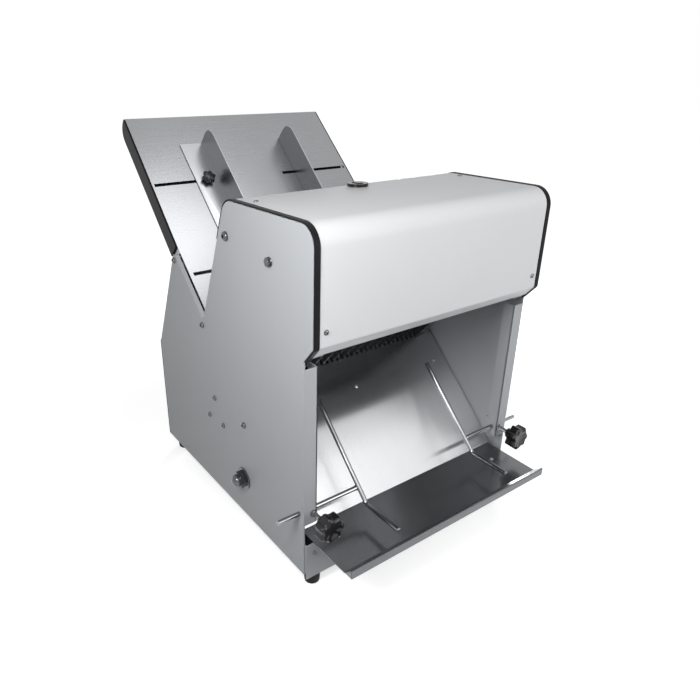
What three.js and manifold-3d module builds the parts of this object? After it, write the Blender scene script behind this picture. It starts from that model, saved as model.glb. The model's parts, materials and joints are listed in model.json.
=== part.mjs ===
import * as THREE from 'three';
import { mergeVertices } from 'three/addons/utils/BufferGeometryUtils.js';
import Module from 'manifold-3d';

const wasm = await Module();
wasm.setup();

// A bench bread slicing machine. A loaf slides down the sloping infeed table
// between two guides, passes two frames of blades that saw past each other,
// and arrives as slices on the outfeed plate and tray.
// Lengths are millimetres: X across, Y from front to back, Z up.
// Depths are measured from the front edge of the side panels and heights from
// their lower edge. On the slope, u runs up along the table from the foot of
// the blades, and n stands square to the table.

// Driving dimensions of the casing
const casingWidth = 480;
const casingDepth = 526;
const panelSheet = 2.5;
const footHeight = 34;
const noseReach = 22;
const lipTopZ = 391;
const noseBottomZ = 417;
const topFrontZ = 586;
const topRearY = 215;
const topRearZ = 575;
const coverEndY = 245;
const notchY = 316;
const earTipY = 422;
const rearShoulderZ = 226;
const earDrop = 6;
const joint = 0.3;
const overrun = 5;

// Driving dimensions of the slope, the blades and the drive
const slopeDegrees = 42.5;
const bladeFootY = 215;
const bladeFootZ = 257.4;
const bladePitch = 12;
const bladeCount = 33;
const bladeWidth = 10;
const bladeSheet = 0.8;
const bladeThrow = 11;
const tableTopU = 577;
const tableFootU = 26;
const plateDrop = 15.2;
const crankU = -6.6;
const crankN = -115.2;
const motorFromRear = 108;
const motorZ = 95;
const hingeY = 189;
const hingeZ = 81;

// Fineness of the round shapes, in segments
const cornerSteps = 5;
const fineRound = 28;
const plainRound = 12;
const smallRound = 8;
const hexRound = 6;
const lobeSteps = 4;
const sharpestMitre = 0.5;

const slope = THREE.MathUtils.degToRad(slopeDegrees);
const panelOuter = casingWidth / 2;
const panelInner = panelOuter - panelSheet;
const motorY = casingDepth - motorFromRear;

// The table line: the height of the table's top face above the depth y
const tableLine = (y) => bladeFootZ + (y - bladeFootY) * Math.tan(slope);

// A point of the slope, given by u and n, in depth and height
const fromSlope = (u, n) => [
  bladeFootY + u * Math.cos(slope) - n * Math.sin(slope),
  bladeFootZ + u * Math.sin(slope) + n * Math.cos(slope),
];

// Solids: a closed three.js geometry becomes a manifold, and back
function solidOf(geometry) {
  const bare = geometry.index ? geometry.toNonIndexed() : geometry.clone();
  bare.deleteAttribute('normal');
  bare.deleteAttribute('uv');
  const merged = mergeVertices(bare);
  const mesh = new wasm.Mesh({
    numProp: 3,
    vertProperties: new Float32Array(merged.attributes.position.array),
    triVerts: new Uint32Array(merged.index.array),
  });
  return new wasm.Manifold(mesh);
}

function geometryOf(solid) {
  const mesh = solid.getMesh();
  const geometry = new THREE.BufferGeometry();
  geometry.setAttribute('position', new THREE.BufferAttribute(mesh.vertProperties, 3));
  geometry.setIndex(new THREE.BufferAttribute(mesh.triVerts, 1));
  const faceted = geometry.toNonIndexed();
  faceted.computeVertexNormals();
  return faceted;
}

const joined = (pieces) => pieces.map(solidOf).reduce((whole, piece) => whole.add(piece));

function shaped(pieces, cuts = []) {
  let solid = joined(pieces);
  for (const cut of cuts) solid = solid.subtract(solidOf(cut));
  return geometryOf(solid);
}

// Basic forms, placed by their limits
function block(x0, x1, y0, y1, z0, z1) {
  const box = new THREE.BoxGeometry(x1 - x0, y1 - y0, z1 - z0);
  return box.translate((x0 + x1) / 2, (y0 + y1) / 2, (z0 + z1) / 2);
}

// A rod along X at the depth y and the height z
function rodX(radius, x0, x1, y, z, segments = plainRound) {
  const rod = new THREE.CylinderGeometry(radius, radius, x1 - x0, segments);
  return rod.rotateZ(-Math.PI / 2).translate((x0 + x1) / 2, y, z);
}

function rodY(radius, x, y0, y1, z, segments = plainRound) {
  const rod = new THREE.CylinderGeometry(radius, radius, y1 - y0, segments);
  return rod.translate(x, (y0 + y1) / 2, z);
}

function rodZ(radius, x, y, z0, z1, segments = plainRound) {
  const rod = new THREE.CylinderGeometry(radius, radius, z1 - z0, segments);
  return rod.rotateX(Math.PI / 2).translate(x, y, (z0 + z1) / 2);
}

// The radius of a bore whose flats clear a shaft by the joint
const clear = (radius, segments) => (radius + joint) / Math.cos(Math.PI / segments);

// A flat outline in Y and Z, given as points, drawn out along X
const sideBasis = new THREE.Matrix4().makeBasis(
  new THREE.Vector3(0, 1, 0),
  new THREE.Vector3(0, 0, 1),
  new THREE.Vector3(1, 0, 0),
);

function sideways(outline, x0, x1, holes = []) {
  const shape = new THREE.Shape(outline.map(([y, z]) => new THREE.Vector2(y, z)));
  for (const hole of holes) {
    shape.holes.push(new THREE.Path(hole.map(([y, z]) => new THREE.Vector2(y, z))));
  }
  const form = new THREE.ExtrudeGeometry(shape, { depth: x1 - x0, bevelEnabled: false });
  return form.applyMatrix4(sideBasis).translate(x0, 0, 0);
}

// A flat outline in X and Y drawn out along Z
function upright(outline, z0, z1) {
  const shape = new THREE.Shape(outline.map(([x, y]) => new THREE.Vector2(x, y)));
  const form = new THREE.ExtrudeGeometry(shape, { depth: z1 - z0, bevelEnabled: false });
  return form.translate(0, 0, z0);
}

// Points of a line whose corners [y, z, radius] are rounded by arcs
function rounded(corners, closed = false) {
  const points = [];
  corners.forEach(([y, z, radius], index) => {
    const last = corners.length - 1;
    const isEnd = !closed && (index === 0 || index === last);
    if (!radius || isEnd) {
      points.push([y, z]);
      return;
    }
    const corner = new THREE.Vector2(y, z);
    const before = corners[index === 0 ? last : index - 1];
    const after = corners[index === last ? 0 : index + 1];
    const back = new THREE.Vector2(before[0], before[1]).sub(corner).normalize();
    const forth = new THREE.Vector2(after[0], after[1]).sub(corner).normalize();
    const half = Math.acos(THREE.MathUtils.clamp(back.dot(forth), -1, 1)) / 2;
    const middle = back.clone().add(forth).normalize();
    const centre = corner.clone().addScaledVector(middle, radius / Math.sin(half));
    const start = corner.clone().addScaledVector(back, radius / Math.tan(half)).sub(centre);
    const end = corner.clone().addScaledVector(forth, radius / Math.tan(half)).sub(centre);
    const turn = Math.atan2(start.cross(end), start.dot(end));
    for (let step = 0; step <= cornerSteps; step += 1) {
      const angle = (turn * step) / cornerSteps;
      const spoke = start.clone().rotateAround(new THREE.Vector2(), angle);
      points.push([centre.x + spoke.x, centre.y + spoke.y]);
    }
  });
  return points;
}

// The same line moved sideways, to its left by a positive distance
function shifted(points, distance) {
  return points.map(([y, z], index) => {
    const here = new THREE.Vector2(y, z);
    const before = points[Math.max(index - 1, 0)];
    const after = points[Math.min(index + 1, points.length - 1)];
    const into = here.clone().sub(new THREE.Vector2(before[0], before[1]));
    const away = new THREE.Vector2(after[0], after[1]).sub(here);
    if (into.lengthSq() === 0) into.copy(away);
    if (away.lengthSq() === 0) away.copy(into);
    into.normalize();
    away.normalize();
    const mitre = into.clone().add(away).normalize();
    const stretch = distance / Math.max(mitre.dot(into), sharpestMitre);
    return [y - mitre.y * stretch, z + mitre.x * stretch];
  });
}

// A strip of sheet between two distances left of a line
const strip = (points, near, far) => [
  ...shifted(points, near),
  ...shifted(points, far).reverse(),
];

// A lobed knob outline round the point x, y
function lobes(x, y, radius, count, depth) {
  const steps = count * lobeSteps;
  const points = [];
  for (let step = 0; step < steps; step += 1) {
    const angle = (2 * Math.PI * step) / steps;
    const reach = radius - (depth * (1 - Math.cos(count * angle))) / 2;
    points.push([x + reach * Math.cos(angle), y + reach * Math.sin(angle)]);
  }
  return points;
}

// A domed fastener head on the axis X, from the face x outwards in the direction side
function headX(radius, height, x, y, z, side) {
  const shoulderShare = 0.45;
  const crownShare = 0.55;
  const profile = [
    new THREE.Vector2(0, 0),
    new THREE.Vector2(radius, 0),
    new THREE.Vector2(radius, height * shoulderShare),
    new THREE.Vector2(radius * crownShare, height),
    new THREE.Vector2(0, height),
  ];
  const head = new THREE.LatheGeometry(profile, smallRound);
  return head.rotateZ((-side * Math.PI) / 2).translate(x, y, z);
}

// Materials, one for each kind of surface
const finish = (color, roughness, metalness) => () =>
  new THREE.MeshStandardMaterial({ color, roughness, metalness });
const panelPaint = finish(0xb9bcc0, 0.42, 0.6);
const coverPaint = finish(0xd6d8da, 0.35, 0.55);
const satinSteel = finish(0xb4b8bc, 0.3, 0.95);
const mirrorSteel = finish(0xc9ccd0, 0.08, 1);
const trayCoat = finish(0x6f7378, 0.25, 0.85);
const chrome = finish(0xd4d6d8, 0.12, 1);
const blackTrim = finish(0x17181a, 0.5, 0);
const blackRubber = finish(0x141414, 0.8, 0);
const knobPlastic = finish(0x101012, 0.3, 0);
const nylon = finish(0xe6e3da, 0.5, 0);
const castIron = finish(0x4b4e52, 0.6, 0.8);
const bladeSteel = finish(0xaeb3b8, 0.22, 1);
const beltRubber = finish(0x1c1c1e, 0.75, 0);

// The scene graph: one group for the machine, and one for what lies on the slope
const machine = new THREE.Group();
const slopeGroup = new THREE.Group();
slopeGroup.position.set(0, bladeFootY, bladeFootZ);
slopeGroup.rotation.x = slope;
machine.add(slopeGroup);

function place(name, geometry, material, group = machine) {
  const mesh = new THREE.Mesh(geometry, material());
  mesh.name = name;
  group.add(mesh);
}

const sides = [['left', -1], ['right', 1]];

// Limits along X of a span between two distances from the middle, on one side
const span = (side, near, far) => (side > 0 ? [near, far] : [-far, -near]);

// Side panels: a plate with the front channel, the flange under the cover and
// the narrower flange round the notch and the ear that carries the table
const noseRadius = 28;
const topRearRadius = 30;
const notchRadius = 6;
const earRadius = 8;
const earArcKept = 2;
const lipRadius = 4;
const coverFlange = 32;
const earFlange = 8;
const channelWidth = 25;
const channelDepth = 24;
const channelBottomZ = 99;
const channelTopGap = 15;
const channelTopZ = lipTopZ - channelTopGap;
const foldInset = 0.2;

const earTipZ = tableLine(earTipY) - earDrop;
const notchZ = tableLine(notchY) - earDrop;
const coverCorners = [
  [0, lipTopZ],
  [-noseReach, noseBottomZ, lipRadius],
  [-noseReach, topFrontZ, noseRadius],
  [topRearY, topRearZ, topRearRadius],
];
const slantRun = (notchY - topRearY) / (topRearZ - notchZ);
const coverEndZ = topRearZ - (coverEndY - topRearY) / slantRun;
const coverLine = rounded([...coverCorners, [coverEndY, coverEndZ]]);
const earLine = rounded([
  [coverEndY, coverEndZ],
  [notchY, notchZ, notchRadius],
  [earTipY, earTipZ, earRadius],
  [casingDepth, rearShoulderZ],
]).slice(0, earArcKept - cornerSteps - 1);
const panelOutline = rounded([
  [0, 0],
  ...coverCorners,
  [notchY, notchZ, notchRadius],
  [earTipY, earTipZ, earRadius],
  [casingDepth, rearShoulderZ],
  [casingDepth, 0],
]);

// Fasteners through the panels: their places and their shanks
const tieFromNose = 107;
const tieFromTop = 73.5;
const tieY = tieFromNose - noseReach;
const tieZ = topFrontZ - tieFromTop;
const tieRadius = 4.5;
const crossFromCorner = 1;
const crossFromTop = 56;
const crossY = topRearY - crossFromCorner;
const crossZ = topRearZ - crossFromTop;
const crossRadius = 6;
const hingeRadius = 8;
const boltRadius = 3;
const tableBoltUs = [128.5, 265];
const tableBoltN = -15.4;
const plateBoltU = -66.8;
const plateBoltN = -23.4;
const flangeBoltReach = 30.7;
const flangeBoltDegrees = [88, 207, 328];
const guideRodRadius = 4;
const guideRodY = 12;
const guideRodZ = 118;
const [crankY, crankZ] = fromSlope(crankU, crankN);
const flangeBolts = flangeBoltDegrees.map((degrees) => {
  const angle = THREE.MathUtils.degToRad(degrees);
  return [crankY + flangeBoltReach * Math.cos(angle), crankZ + flangeBoltReach * Math.sin(angle)];
});
const panelHoles = [
  [tieRadius, tieY, tieZ],
  [crossRadius, crossY, crossZ],
  [hingeRadius, hingeY, hingeZ],
  [guideRodRadius, guideRodY, guideRodZ],
  [boltRadius, ...fromSlope(plateBoltU, plateBoltN)],
  ...tableBoltUs.map((u) => [boltRadius, ...fromSlope(u, tableBoltN)]),
  ...flangeBolts.map(([y, z]) => [boltRadius, y, z]),
];
const clampStudX = 222;
const clampStudZ = 119.5;
const clampStudRadius = 4;

for (const [sideName, side] of sides) {
  const channelInner = panelOuter - channelWidth;
  const foldEnd = panelInner + panelSheet / 2;
  const pieces = [
    sideways(panelOutline, ...span(side, panelInner, panelOuter)),
    sideways(strip(coverLine, -foldInset, -panelSheet), ...span(side, panelOuter - coverFlange, foldEnd)),
    sideways(strip(earLine, -foldInset, -panelSheet), ...span(side, panelOuter - earFlange, foldEnd)),
    block(...span(side, channelInner, foldEnd), foldInset, panelSheet, channelBottomZ, channelTopZ),
    block(...span(side, channelInner, channelInner + panelSheet), foldInset, channelDepth,
      channelBottomZ, channelTopZ),
  ];
  const cuts = panelHoles.map(([radius, y, z]) =>
    rodX(clear(radius, plainRound), ...span(side, panelInner - overrun, panelOuter + overrun), y, z));
  cuts.push(rodX(clear(guideRodRadius, plainRound), ...span(side, channelInner - overrun, panelOuter),
    guideRodY, guideRodZ));
  cuts.push(rodY(clear(clampStudRadius, smallRound), side * clampStudX, -overrun, panelSheet + overrun,
    clampStudZ, smallRound));
  place(`side_panel_${sideName}`, shaped(pieces, cuts), panelPaint);
}

// Black edge trims over the panels' upper edges, and along their rear edges
const trimWidth = 9.7;
const trimProud = 3;
const rearTrimWidth = 4;

for (const [sideName, side] of sides) {
  const across = span(side, panelOuter - trimWidth, panelOuter);
  place(`edge_trim_${sideName}`, shaped([
    sideways(strip(coverLine, joint, trimProud), ...across),
  ]), blackTrim);
  const rearLine = [[casingDepth, rearShoulderZ], [casingDepth, 0]];
  const rearAcross = span(side, panelOuter - rearTrimWidth, panelOuter);
  place(`rear_edge_trim_${sideName}`, shaped([
    sideways(strip(rearLine, joint, trimProud), ...rearAcross),
  ]), blackTrim);
}

// The cover: one bent sheet between the trims, from a short lip under the nose
// to the rear slant
const coverHalf = panelOuter - trimWidth - joint;
const coverFace = 2;
const coverUnder = 0.5;
const coverLipInset = 11;
const switchX = -8;
const switchY = 183;
const switchBodyRadius = 14;
const switchBodyDepth = 18;
const topPitch = Math.atan2(topRearZ - topFrontZ, topRearY + noseReach);
const switchZ = topFrontZ + (switchY + noseReach) * Math.tan(topPitch);

function onSwitch(geometry) {
  return geometry.rotateX(topPitch).translate(switchX, switchY, switchZ);
}

const lipSlant = new THREE.Vector2(-noseReach, noseBottomZ - lipTopZ).setLength(coverLipInset);
const lidLine = rounded([
  [lipSlant.x, lipTopZ + lipSlant.y],
  ...coverCorners.slice(1),
  [coverEndY, coverEndZ],
]);
const coverHole = onSwitch(rodZ(clear(switchBodyRadius, plainRound), 0, 0, -overrun, overrun));
place('top_cover',
  shaped([sideways(strip(lidLine, coverUnder, coverFace), -coverHalf, coverHalf)], [coverHole]),
  coverPaint);

// The round switch on the cover, with its rocker in a recess
const bezelRadius = 18;
const bezelHeight = 5;
const rockerX = 12;
const rockerY = 17;
const rockerThickness = 5;
const rockerPivot = 3.5;
const recessGap = 0.6;
const recessDepth = 8;

place('switch_bezel', shaped([
  onSwitch(rodZ(bezelRadius, 0, 0, coverFace + joint, coverFace + joint + bezelHeight)),
  onSwitch(rodZ(switchBodyRadius, 0, 0, -switchBodyDepth, coverFace + bezelHeight)),
], [
  onSwitch(block(-rockerX / 2 - recessGap, rockerX / 2 + recessGap, -rockerY / 2 - recessGap,
    rockerY / 2 + recessGap, coverFace + bezelHeight - recessDepth, coverFace + bezelHeight + overrun)),
]), knobPlastic);
place('switch_rocker', shaped([
  onSwitch(block(-rockerX / 2, rockerX / 2, -rockerY / 2, rockerY / 2,
    rockerPivot, rockerPivot + rockerThickness)),
]), knobPlastic);

// The infeed table: a sheet with cross slots for the guides and side flanges,
// of one width between the panels and drawn in above the ears
const sheet = 2;
const tableGap = 1.5;
const tableHalf = panelOuter - earFlange - tableGap;
const tableDrawIn = 7;
const tableTopHalf = tableHalf - tableDrawIn;
const earTipGap = 2.5;
const tableBendU = (earTipY - bladeFootY) / Math.cos(slope) + earTipGap;
const tableFlange = 34;
const tableFlangeStartU = 110;
const tableCornerRadius = 25;
const tableRearFold = 8;
const slotHalfWidth = 3.25;
const slotOuter = 223;
const slotInner = 60;
const slotUs = [222, 419];
const tableTrimSheet = 3;

const flangeOutline = (startU) => rounded([
  [startU, 0],
  [startU, -tableFlange],
  [tableTopU, -tableFlange, tableCornerRadius],
  [tableTopU, 0],
], true);

// A side flange above the ears, between two distances outside the table's edge
function drawnIn(side, startU, near, far) {
  const lean = (-side * tableDrawIn) / (tableTopU - tableBendU);
  const leaning = new THREE.Matrix4().makeBasis(
    new THREE.Vector3(1, 0, 0),
    new THREE.Vector3(lean, 1, 0),
    new THREE.Vector3(0, 0, 1),
  ).setPosition(side * tableTopHalf - lean * tableTopU, 0, 0);
  return sideways(flangeOutline(startU), ...span(side, near, far)).applyMatrix4(leaning);
}

const tablePieces = [
  upright([
    [-tableHalf, tableBendU],
    [-tableHalf, tableFootU],
    [tableHalf, tableFootU],
    [tableHalf, tableBendU],
    [tableTopHalf, tableTopU],
    [-tableTopHalf, tableTopU],
  ], -sheet, 0),
  block(-tableTopHalf, tableTopHalf, tableTopU - sheet, tableTopU, -tableRearFold, 0),
];
const tableCuts = [];
for (const [, side] of sides) {
  tablePieces.push(block(...span(side, tableHalf - sheet, tableHalf), tableFlangeStartU, tableBendU,
    -tableFlange, 0));
  tablePieces.push(drawnIn(side, tableBendU, -sheet, 0));
  for (const u of slotUs) {
    tableCuts.push(block(...span(side, slotInner, slotOuter), u - slotHalfWidth, u + slotHalfWidth,
      -sheet - overrun, overrun));
  }
  for (const u of tableBoltUs) {
    tableCuts.push(rodX(clear(boltRadius, smallRound),
      ...span(side, tableHalf - sheet - overrun, tableHalf + overrun), u, tableBoltN, smallRound));
  }
}
place('infeed_table', shaped(tablePieces, tableCuts), satinSteel, slopeGroup);
for (const [sideName, side] of sides) {
  place(`table_trim_${sideName}`, shaped([
    drawnIn(side, tableBendU, joint, joint + tableTrimSheet),
  ]), blackTrim, slopeGroup);
}

// Through bolts: the table to the ears, and the outfeed plate to the panels
const headRadius = 5.5;
const headHeight = 4.5;
const nutRadius = 5.2;
const nutHeight = 4;
const spacerRadius = 4.2;
const plateGap = 1.5;
const plateHalf = panelInner - plateGap;

function throughBolt(side, innerFace, u, n) {
  const shankStart = innerFace - joint - nutHeight;
  const shankEnd = panelOuter + joint + headHeight / 2;
  return shaped([
    rodX(boltRadius, ...span(side, shankStart, shankEnd), u, n, smallRound),
    rodX(nutRadius, ...span(side, shankStart, innerFace - joint), u, n, hexRound),
    headX(headRadius, headHeight, side * (panelOuter + joint), u, n, side),
  ]);
}

for (const [sideName, side] of sides) {
  tableBoltUs.forEach((u, index) => {
    const end = ['lower', 'upper'][index];
    place(`table_bolt_${end}_${sideName}`, shaped([
      throughBolt(side, tableHalf - sheet, u, tableBoltN),
      rodX(spacerRadius, ...span(side, tableHalf + joint, panelInner - joint), u, tableBoltN, smallRound),
    ]), chrome, slopeGroup);
  });
  place(`plate_bolt_${sideName}`, throughBolt(side, plateHalf - sheet, plateBoltU, plateBoltN),
    chrome, slopeGroup);
}

// The outfeed plate: a polished sheet whose upper end is the comb that the
// blades stand in, with side flanges bolted to the panels
const plateFootU = -268;
const combFootU = -8.5;
const combTopU = 20;
const combSlot = 5.5;
const combEdge = 3;
const plateFlange = 18;
const plateFlangeEndU = -14;
const plateFlangeInset = 8;

const bladePlaces = [];
for (let index = 0; index < bladeCount; index += 1) {
  bladePlaces.push((index - (bladeCount - 1) / 2) * bladePitch);
}
const combHalf = bladePlaces[bladeCount - 1] + combSlot / 2 + combEdge;
const plateOutline = [
  [-plateHalf, combFootU],
  [-plateHalf, plateFootU],
  [plateHalf, plateFootU],
  [plateHalf, combFootU],
  [combHalf, combFootU],
  [combHalf, combTopU],
];
for (const x of [...bladePlaces].reverse()) {
  plateOutline.push([x + combSlot / 2, combTopU]);
  plateOutline.push([x + combSlot / 2, combFootU]);
  plateOutline.push([x - combSlot / 2, combFootU]);
  plateOutline.push([x - combSlot / 2, combTopU]);
}
plateOutline.push([-combHalf, combTopU]);
plateOutline.push([-combHalf, combFootU]);
const platePieces = [upright(plateOutline, -plateDrop - sheet, -plateDrop)];
const plateCuts = [];
for (const [, side] of sides) {
  platePieces.push(block(...span(side, plateHalf - sheet, plateHalf), plateFootU + plateFlangeInset,
    plateFlangeEndU, -plateDrop - plateFlange, -plateDrop));
  plateCuts.push(rodX(clear(boltRadius, smallRound),
    ...span(side, plateHalf - sheet - overrun, plateHalf + overrun), plateBoltU, plateBoltN, smallRound));
}
place('outfeed_plate', shaped(platePieces, plateCuts), mirrorSteel, slopeGroup);

// The outfeed tray: a shelf with a raised and returned front lip, closed at its ends
const trayHalf = 227;
const trayTopZ = 68.5;
const traySheet = 1.5;
const trayRearY = 25;
const trayFrontY = -91;
const trayLipReach = 18;
const trayLipRise = 17;
const trayReturnDrop = 17;

const trayLine = [
  [trayRearY, trayTopZ],
  [trayFrontY, trayTopZ],
  [trayFrontY - trayLipReach, trayTopZ + trayLipRise],
  [trayFrontY - trayLipReach, trayTopZ + trayLipRise - trayReturnDrop],
];
const trayPieces = [sideways(strip(trayLine, 0, traySheet), -trayHalf, trayHalf)];
for (const [, side] of sides) {
  trayPieces.push(sideways(trayLine.slice(1), ...span(side, trayHalf - traySheet, trayHalf)));
}
place('outfeed_tray', shaped(trayPieces), trayCoat);

// The base pan with the front apron, its side returns and the tray's arms
const panSheet = 2;
const panHalf = panelInner - joint;
const apronFaceY = -4;
const apronBottomZ = -10;
const apronTopZ = 60;
const apronReturn = 22;
const armHalfWidth = 12;
const armX = 186.8;
const armReach = 30;
const armTopZ = trayTopZ - traySheet - joint;
const panRearInset = 4;
const panRearY = casingDepth - panRearInset;

const panPieces = [
  block(-panHalf, panHalf, apronFaceY, panRearY, 0, panSheet),
  block(-panHalf, panHalf, apronFaceY, apronFaceY + panSheet, apronBottomZ, apronTopZ),
];
for (const [, side] of sides) {
  const armLeft = side * armX - armHalfWidth;
  const armRight = side * armX + armHalfWidth;
  panPieces.push(block(...span(side, panHalf - panSheet, panHalf), apronFaceY, apronReturn, 0, apronTopZ));
  panPieces.push(block(armLeft, armRight, apronFaceY, apronFaceY + panSheet, 0, armTopZ));
  panPieces.push(block(armLeft, armRight, apronFaceY - armReach, apronFaceY + panSheet,
    armTopZ - panSheet, armTopZ));
}
place('base_pan', shaped(panPieces), panelPaint);

// The rear panel: a bent sheet behind the drive, up to under the table
const rearSheet = 1.5;
const rearTopInset = 42;
const rearLift = 5;
const rearSlopeRun = new THREE.Vector2(earTipY - casingDepth, earTipZ - rearShoulderZ);
const rearTop = rearSlopeRun.clone().setLength(rearSlopeRun.length() - rearTopInset);
const rearLine = [
  [casingDepth, rearLift],
  [casingDepth, rearShoulderZ],
  [casingDepth + rearTop.x, rearShoulderZ + rearTop.y],
];
const ventPieces = [];
const ventCount = 6;
const ventPitch = 22;
const ventHalfLength = 70;
const ventHalfHeight = 4;
const ventFirstZ = 50;
for (let index = 0; index < ventCount; index += 1) {
  const z = ventFirstZ + index * ventPitch;
  ventPieces.push(block(-ventHalfLength, ventHalfLength, casingDepth - rearSheet - overrun,
    casingDepth + overrun, z - ventHalfHeight, z + ventHalfHeight));
}
place('rear_panel', shaped([
  sideways(strip(rearLine, joint, joint + rearSheet), -panHalf, panHalf),
], ventPieces), panelPaint);

// Rubber feet under the pan
const footTopRadius = 14.5;
const footBottomRadius = 13;
const footX = 214;
const footFromFront = 12.8;
const footFromRear = 15;
const footYs = [footFromFront, casingDepth - footFromRear];
const footEnds = ['front', 'rear'];

for (const [sideName, side] of sides) {
  footYs.forEach((y, index) => {
    const foot = new THREE.CylinderGeometry(footTopRadius, footBottomRadius, footHeight - joint, plainRound);
    foot.rotateX(Math.PI / 2).translate(side * footX, y, -(footHeight + joint) / 2);
    place(`foot_${footEnds[index]}_${sideName}`, shaped([foot]), blackRubber);
  });
}

// Rods that tie the panels together, with their nuts outside
const tieWasherRadius = 7.5;
const tieWasherHeight = 1.5;
const tieNutRadius = 7;
const tieNutHeight = 4.5;
const crossHeadRadius = 8;
const crossHeadHeight = 6;
const hingeWasherRadius = 20.5;
const hingeWasherHeight = 2.5;
const hingeNutRadius = 15.5;
const hingeNutHeight = 10;
const hingeCapRadius = 11.5;
const hingeCapHeight = 12;
const shoulderExtra = 3;

const tiePieces = [
  rodX(tieRadius, -panelOuter - tieNutHeight, panelOuter + tieNutHeight, tieY, tieZ),
  rodX(tieRadius + shoulderExtra, -panelInner + joint, panelInner - joint, tieY, tieZ),
];
const crossPieces = [
  rodX(crossRadius, -panelOuter - crossHeadHeight / 2, panelOuter + crossHeadHeight / 2, crossY, crossZ),
  rodX(crossRadius + shoulderExtra, -panelInner + joint, panelInner - joint, crossY, crossZ),
];
const hingePieces = [
  rodX(hingeRadius, -panelOuter - hingeNutHeight, panelOuter + hingeNutHeight, hingeY, hingeZ),
];
for (const [, side] of sides) {
  const face = panelOuter + joint;
  const tieFace = face + tieWasherHeight;
  tiePieces.push(rodX(tieWasherRadius, ...span(side, face, tieFace), tieY, tieZ));
  tiePieces.push(rodX(tieNutRadius, ...span(side, tieFace, tieFace + tieNutHeight), tieY, tieZ, hexRound));
  crossPieces.push(headX(crossHeadRadius, crossHeadHeight, side * face, crossY, crossZ, side));
  const washerFace = face + hingeWasherHeight;
  const nutFace = washerFace + hingeNutHeight;
  hingePieces.push(rodX(hingeWasherRadius, ...span(side, face, washerFace), hingeY, hingeZ));
  hingePieces.push(rodX(hingeNutRadius, ...span(side, washerFace, nutFace), hingeY, hingeZ, hexRound));
  hingePieces.push(headX(hingeCapRadius, hingeCapHeight, side * nutFace, hingeY, hingeZ, side));
}
place('upper_tie_rod', shaped(tiePieces), chrome);
place('rear_cross_bar', shaped(crossPieces), chrome);
place('motor_hinge_rod', shaped(hingePieces), chrome);

// The motor cradle: a plate that swings on the hinge rod to tighten the belt
const cradleTopZ = 34;
const cradleSheet = 4;
const cradleFrontY = 205;
const cradleBehindMotor = 52;
const cradleRearY = motorY + cradleBehindMotor;
const cradleLeft = -75;
const cradleRight = 165;
const lugSheet = 8;
const lugEye = 14;
const lugRear = 40;
const screwRadius = 5;
const screwInset = 12;

const cradlePieces = [
  block(cradleLeft, cradleRight, cradleFrontY, cradleRearY, cradleTopZ - cradleSheet, cradleTopZ),
  rodZ(screwRadius, (cradleLeft + cradleRight) / 2, cradleRearY - screwInset, panSheet + joint, cradleTopZ),
];
const cradleCuts = [];
for (const x of [cradleLeft, cradleRight - lugSheet]) {
  cradlePieces.push(rodX(lugEye, x, x + lugSheet, hingeY, hingeZ));
  cradlePieces.push(sideways([
    [hingeY - lugEye, hingeZ],
    [cradleFrontY, cradleTopZ - cradleSheet],
    [cradleFrontY + lugRear, cradleTopZ - cradleSheet],
    [cradleFrontY + lugRear, cradleTopZ],
    [hingeY + lugEye, hingeZ],
  ], x, x + lugSheet));
  cradleCuts.push(rodX(clear(hingeRadius, plainRound), x - overrun, x + lugSheet + overrun, hingeY, hingeZ));
}
place('motor_cradle', shaped(cradlePieces, cradleCuts), castIron);

// The motor: a barrel with end bells, feet and a terminal box
const motorRadius = 55;
const bellRadius = 58;
const bellLength = 22;
const motorLeft = -60;
const motorRight = 150;
const motorShaftRadius = 9;
const motorShaftEnd = 196;
const motorFootHalfY = 42;
const motorFootLength = 30;
const motorFootInset = 30;
const terminalHalfX = 35;
const terminalHalfY = 28;
const terminalRise = 26;

const motorPieces = [
  rodX(motorRadius, motorLeft, motorRight, motorY, motorZ, fineRound),
  rodX(bellRadius, motorLeft, motorLeft + bellLength, motorY, motorZ, fineRound),
  rodX(bellRadius, motorRight - bellLength, motorRight, motorY, motorZ, fineRound),
  rodX(motorShaftRadius, motorRight - overrun, motorShaftEnd, motorY, motorZ),
  block(-terminalHalfX, terminalHalfX, motorY - terminalHalfY, motorY + terminalHalfY,
    motorZ, motorZ + motorRadius + terminalRise),
];
for (const x of [motorLeft + motorFootInset, motorRight - motorFootInset - motorFootLength]) {
  motorPieces.push(block(x, x + motorFootLength, motorY - motorFootHalfY, motorY + motorFootHalfY,
    cradleTopZ + joint, motorZ));
}
place('motor', shaped(motorPieces), castIron);

// Pulleys and belt: two rims with a groove between flanges
const pulleyX = 186;
const pulleyHalf = 8;
const grooveHalf = 5.3;
const beltHalf = 5;
const beltThickness = 6;
const motorPulleyRadius = 26;
const crankPulleyRadius = 56;
const grooveDepth = 4;
const crankShaftRadius = 9;

function pulley(radius, bore, y, z) {
  const left = pulleyX - pulleyHalf;
  const right = pulleyX + pulleyHalf;
  return shaped([
    rodX(radius, left, pulleyX - grooveHalf, y, z, fineRound),
    rodX(radius, pulleyX + grooveHalf, right, y, z, fineRound),
    rodX(radius - grooveDepth, left, right, y, z, fineRound),
  ], [rodX(clear(bore, plainRound), left - overrun, right + overrun, y, z)]);
}

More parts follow.
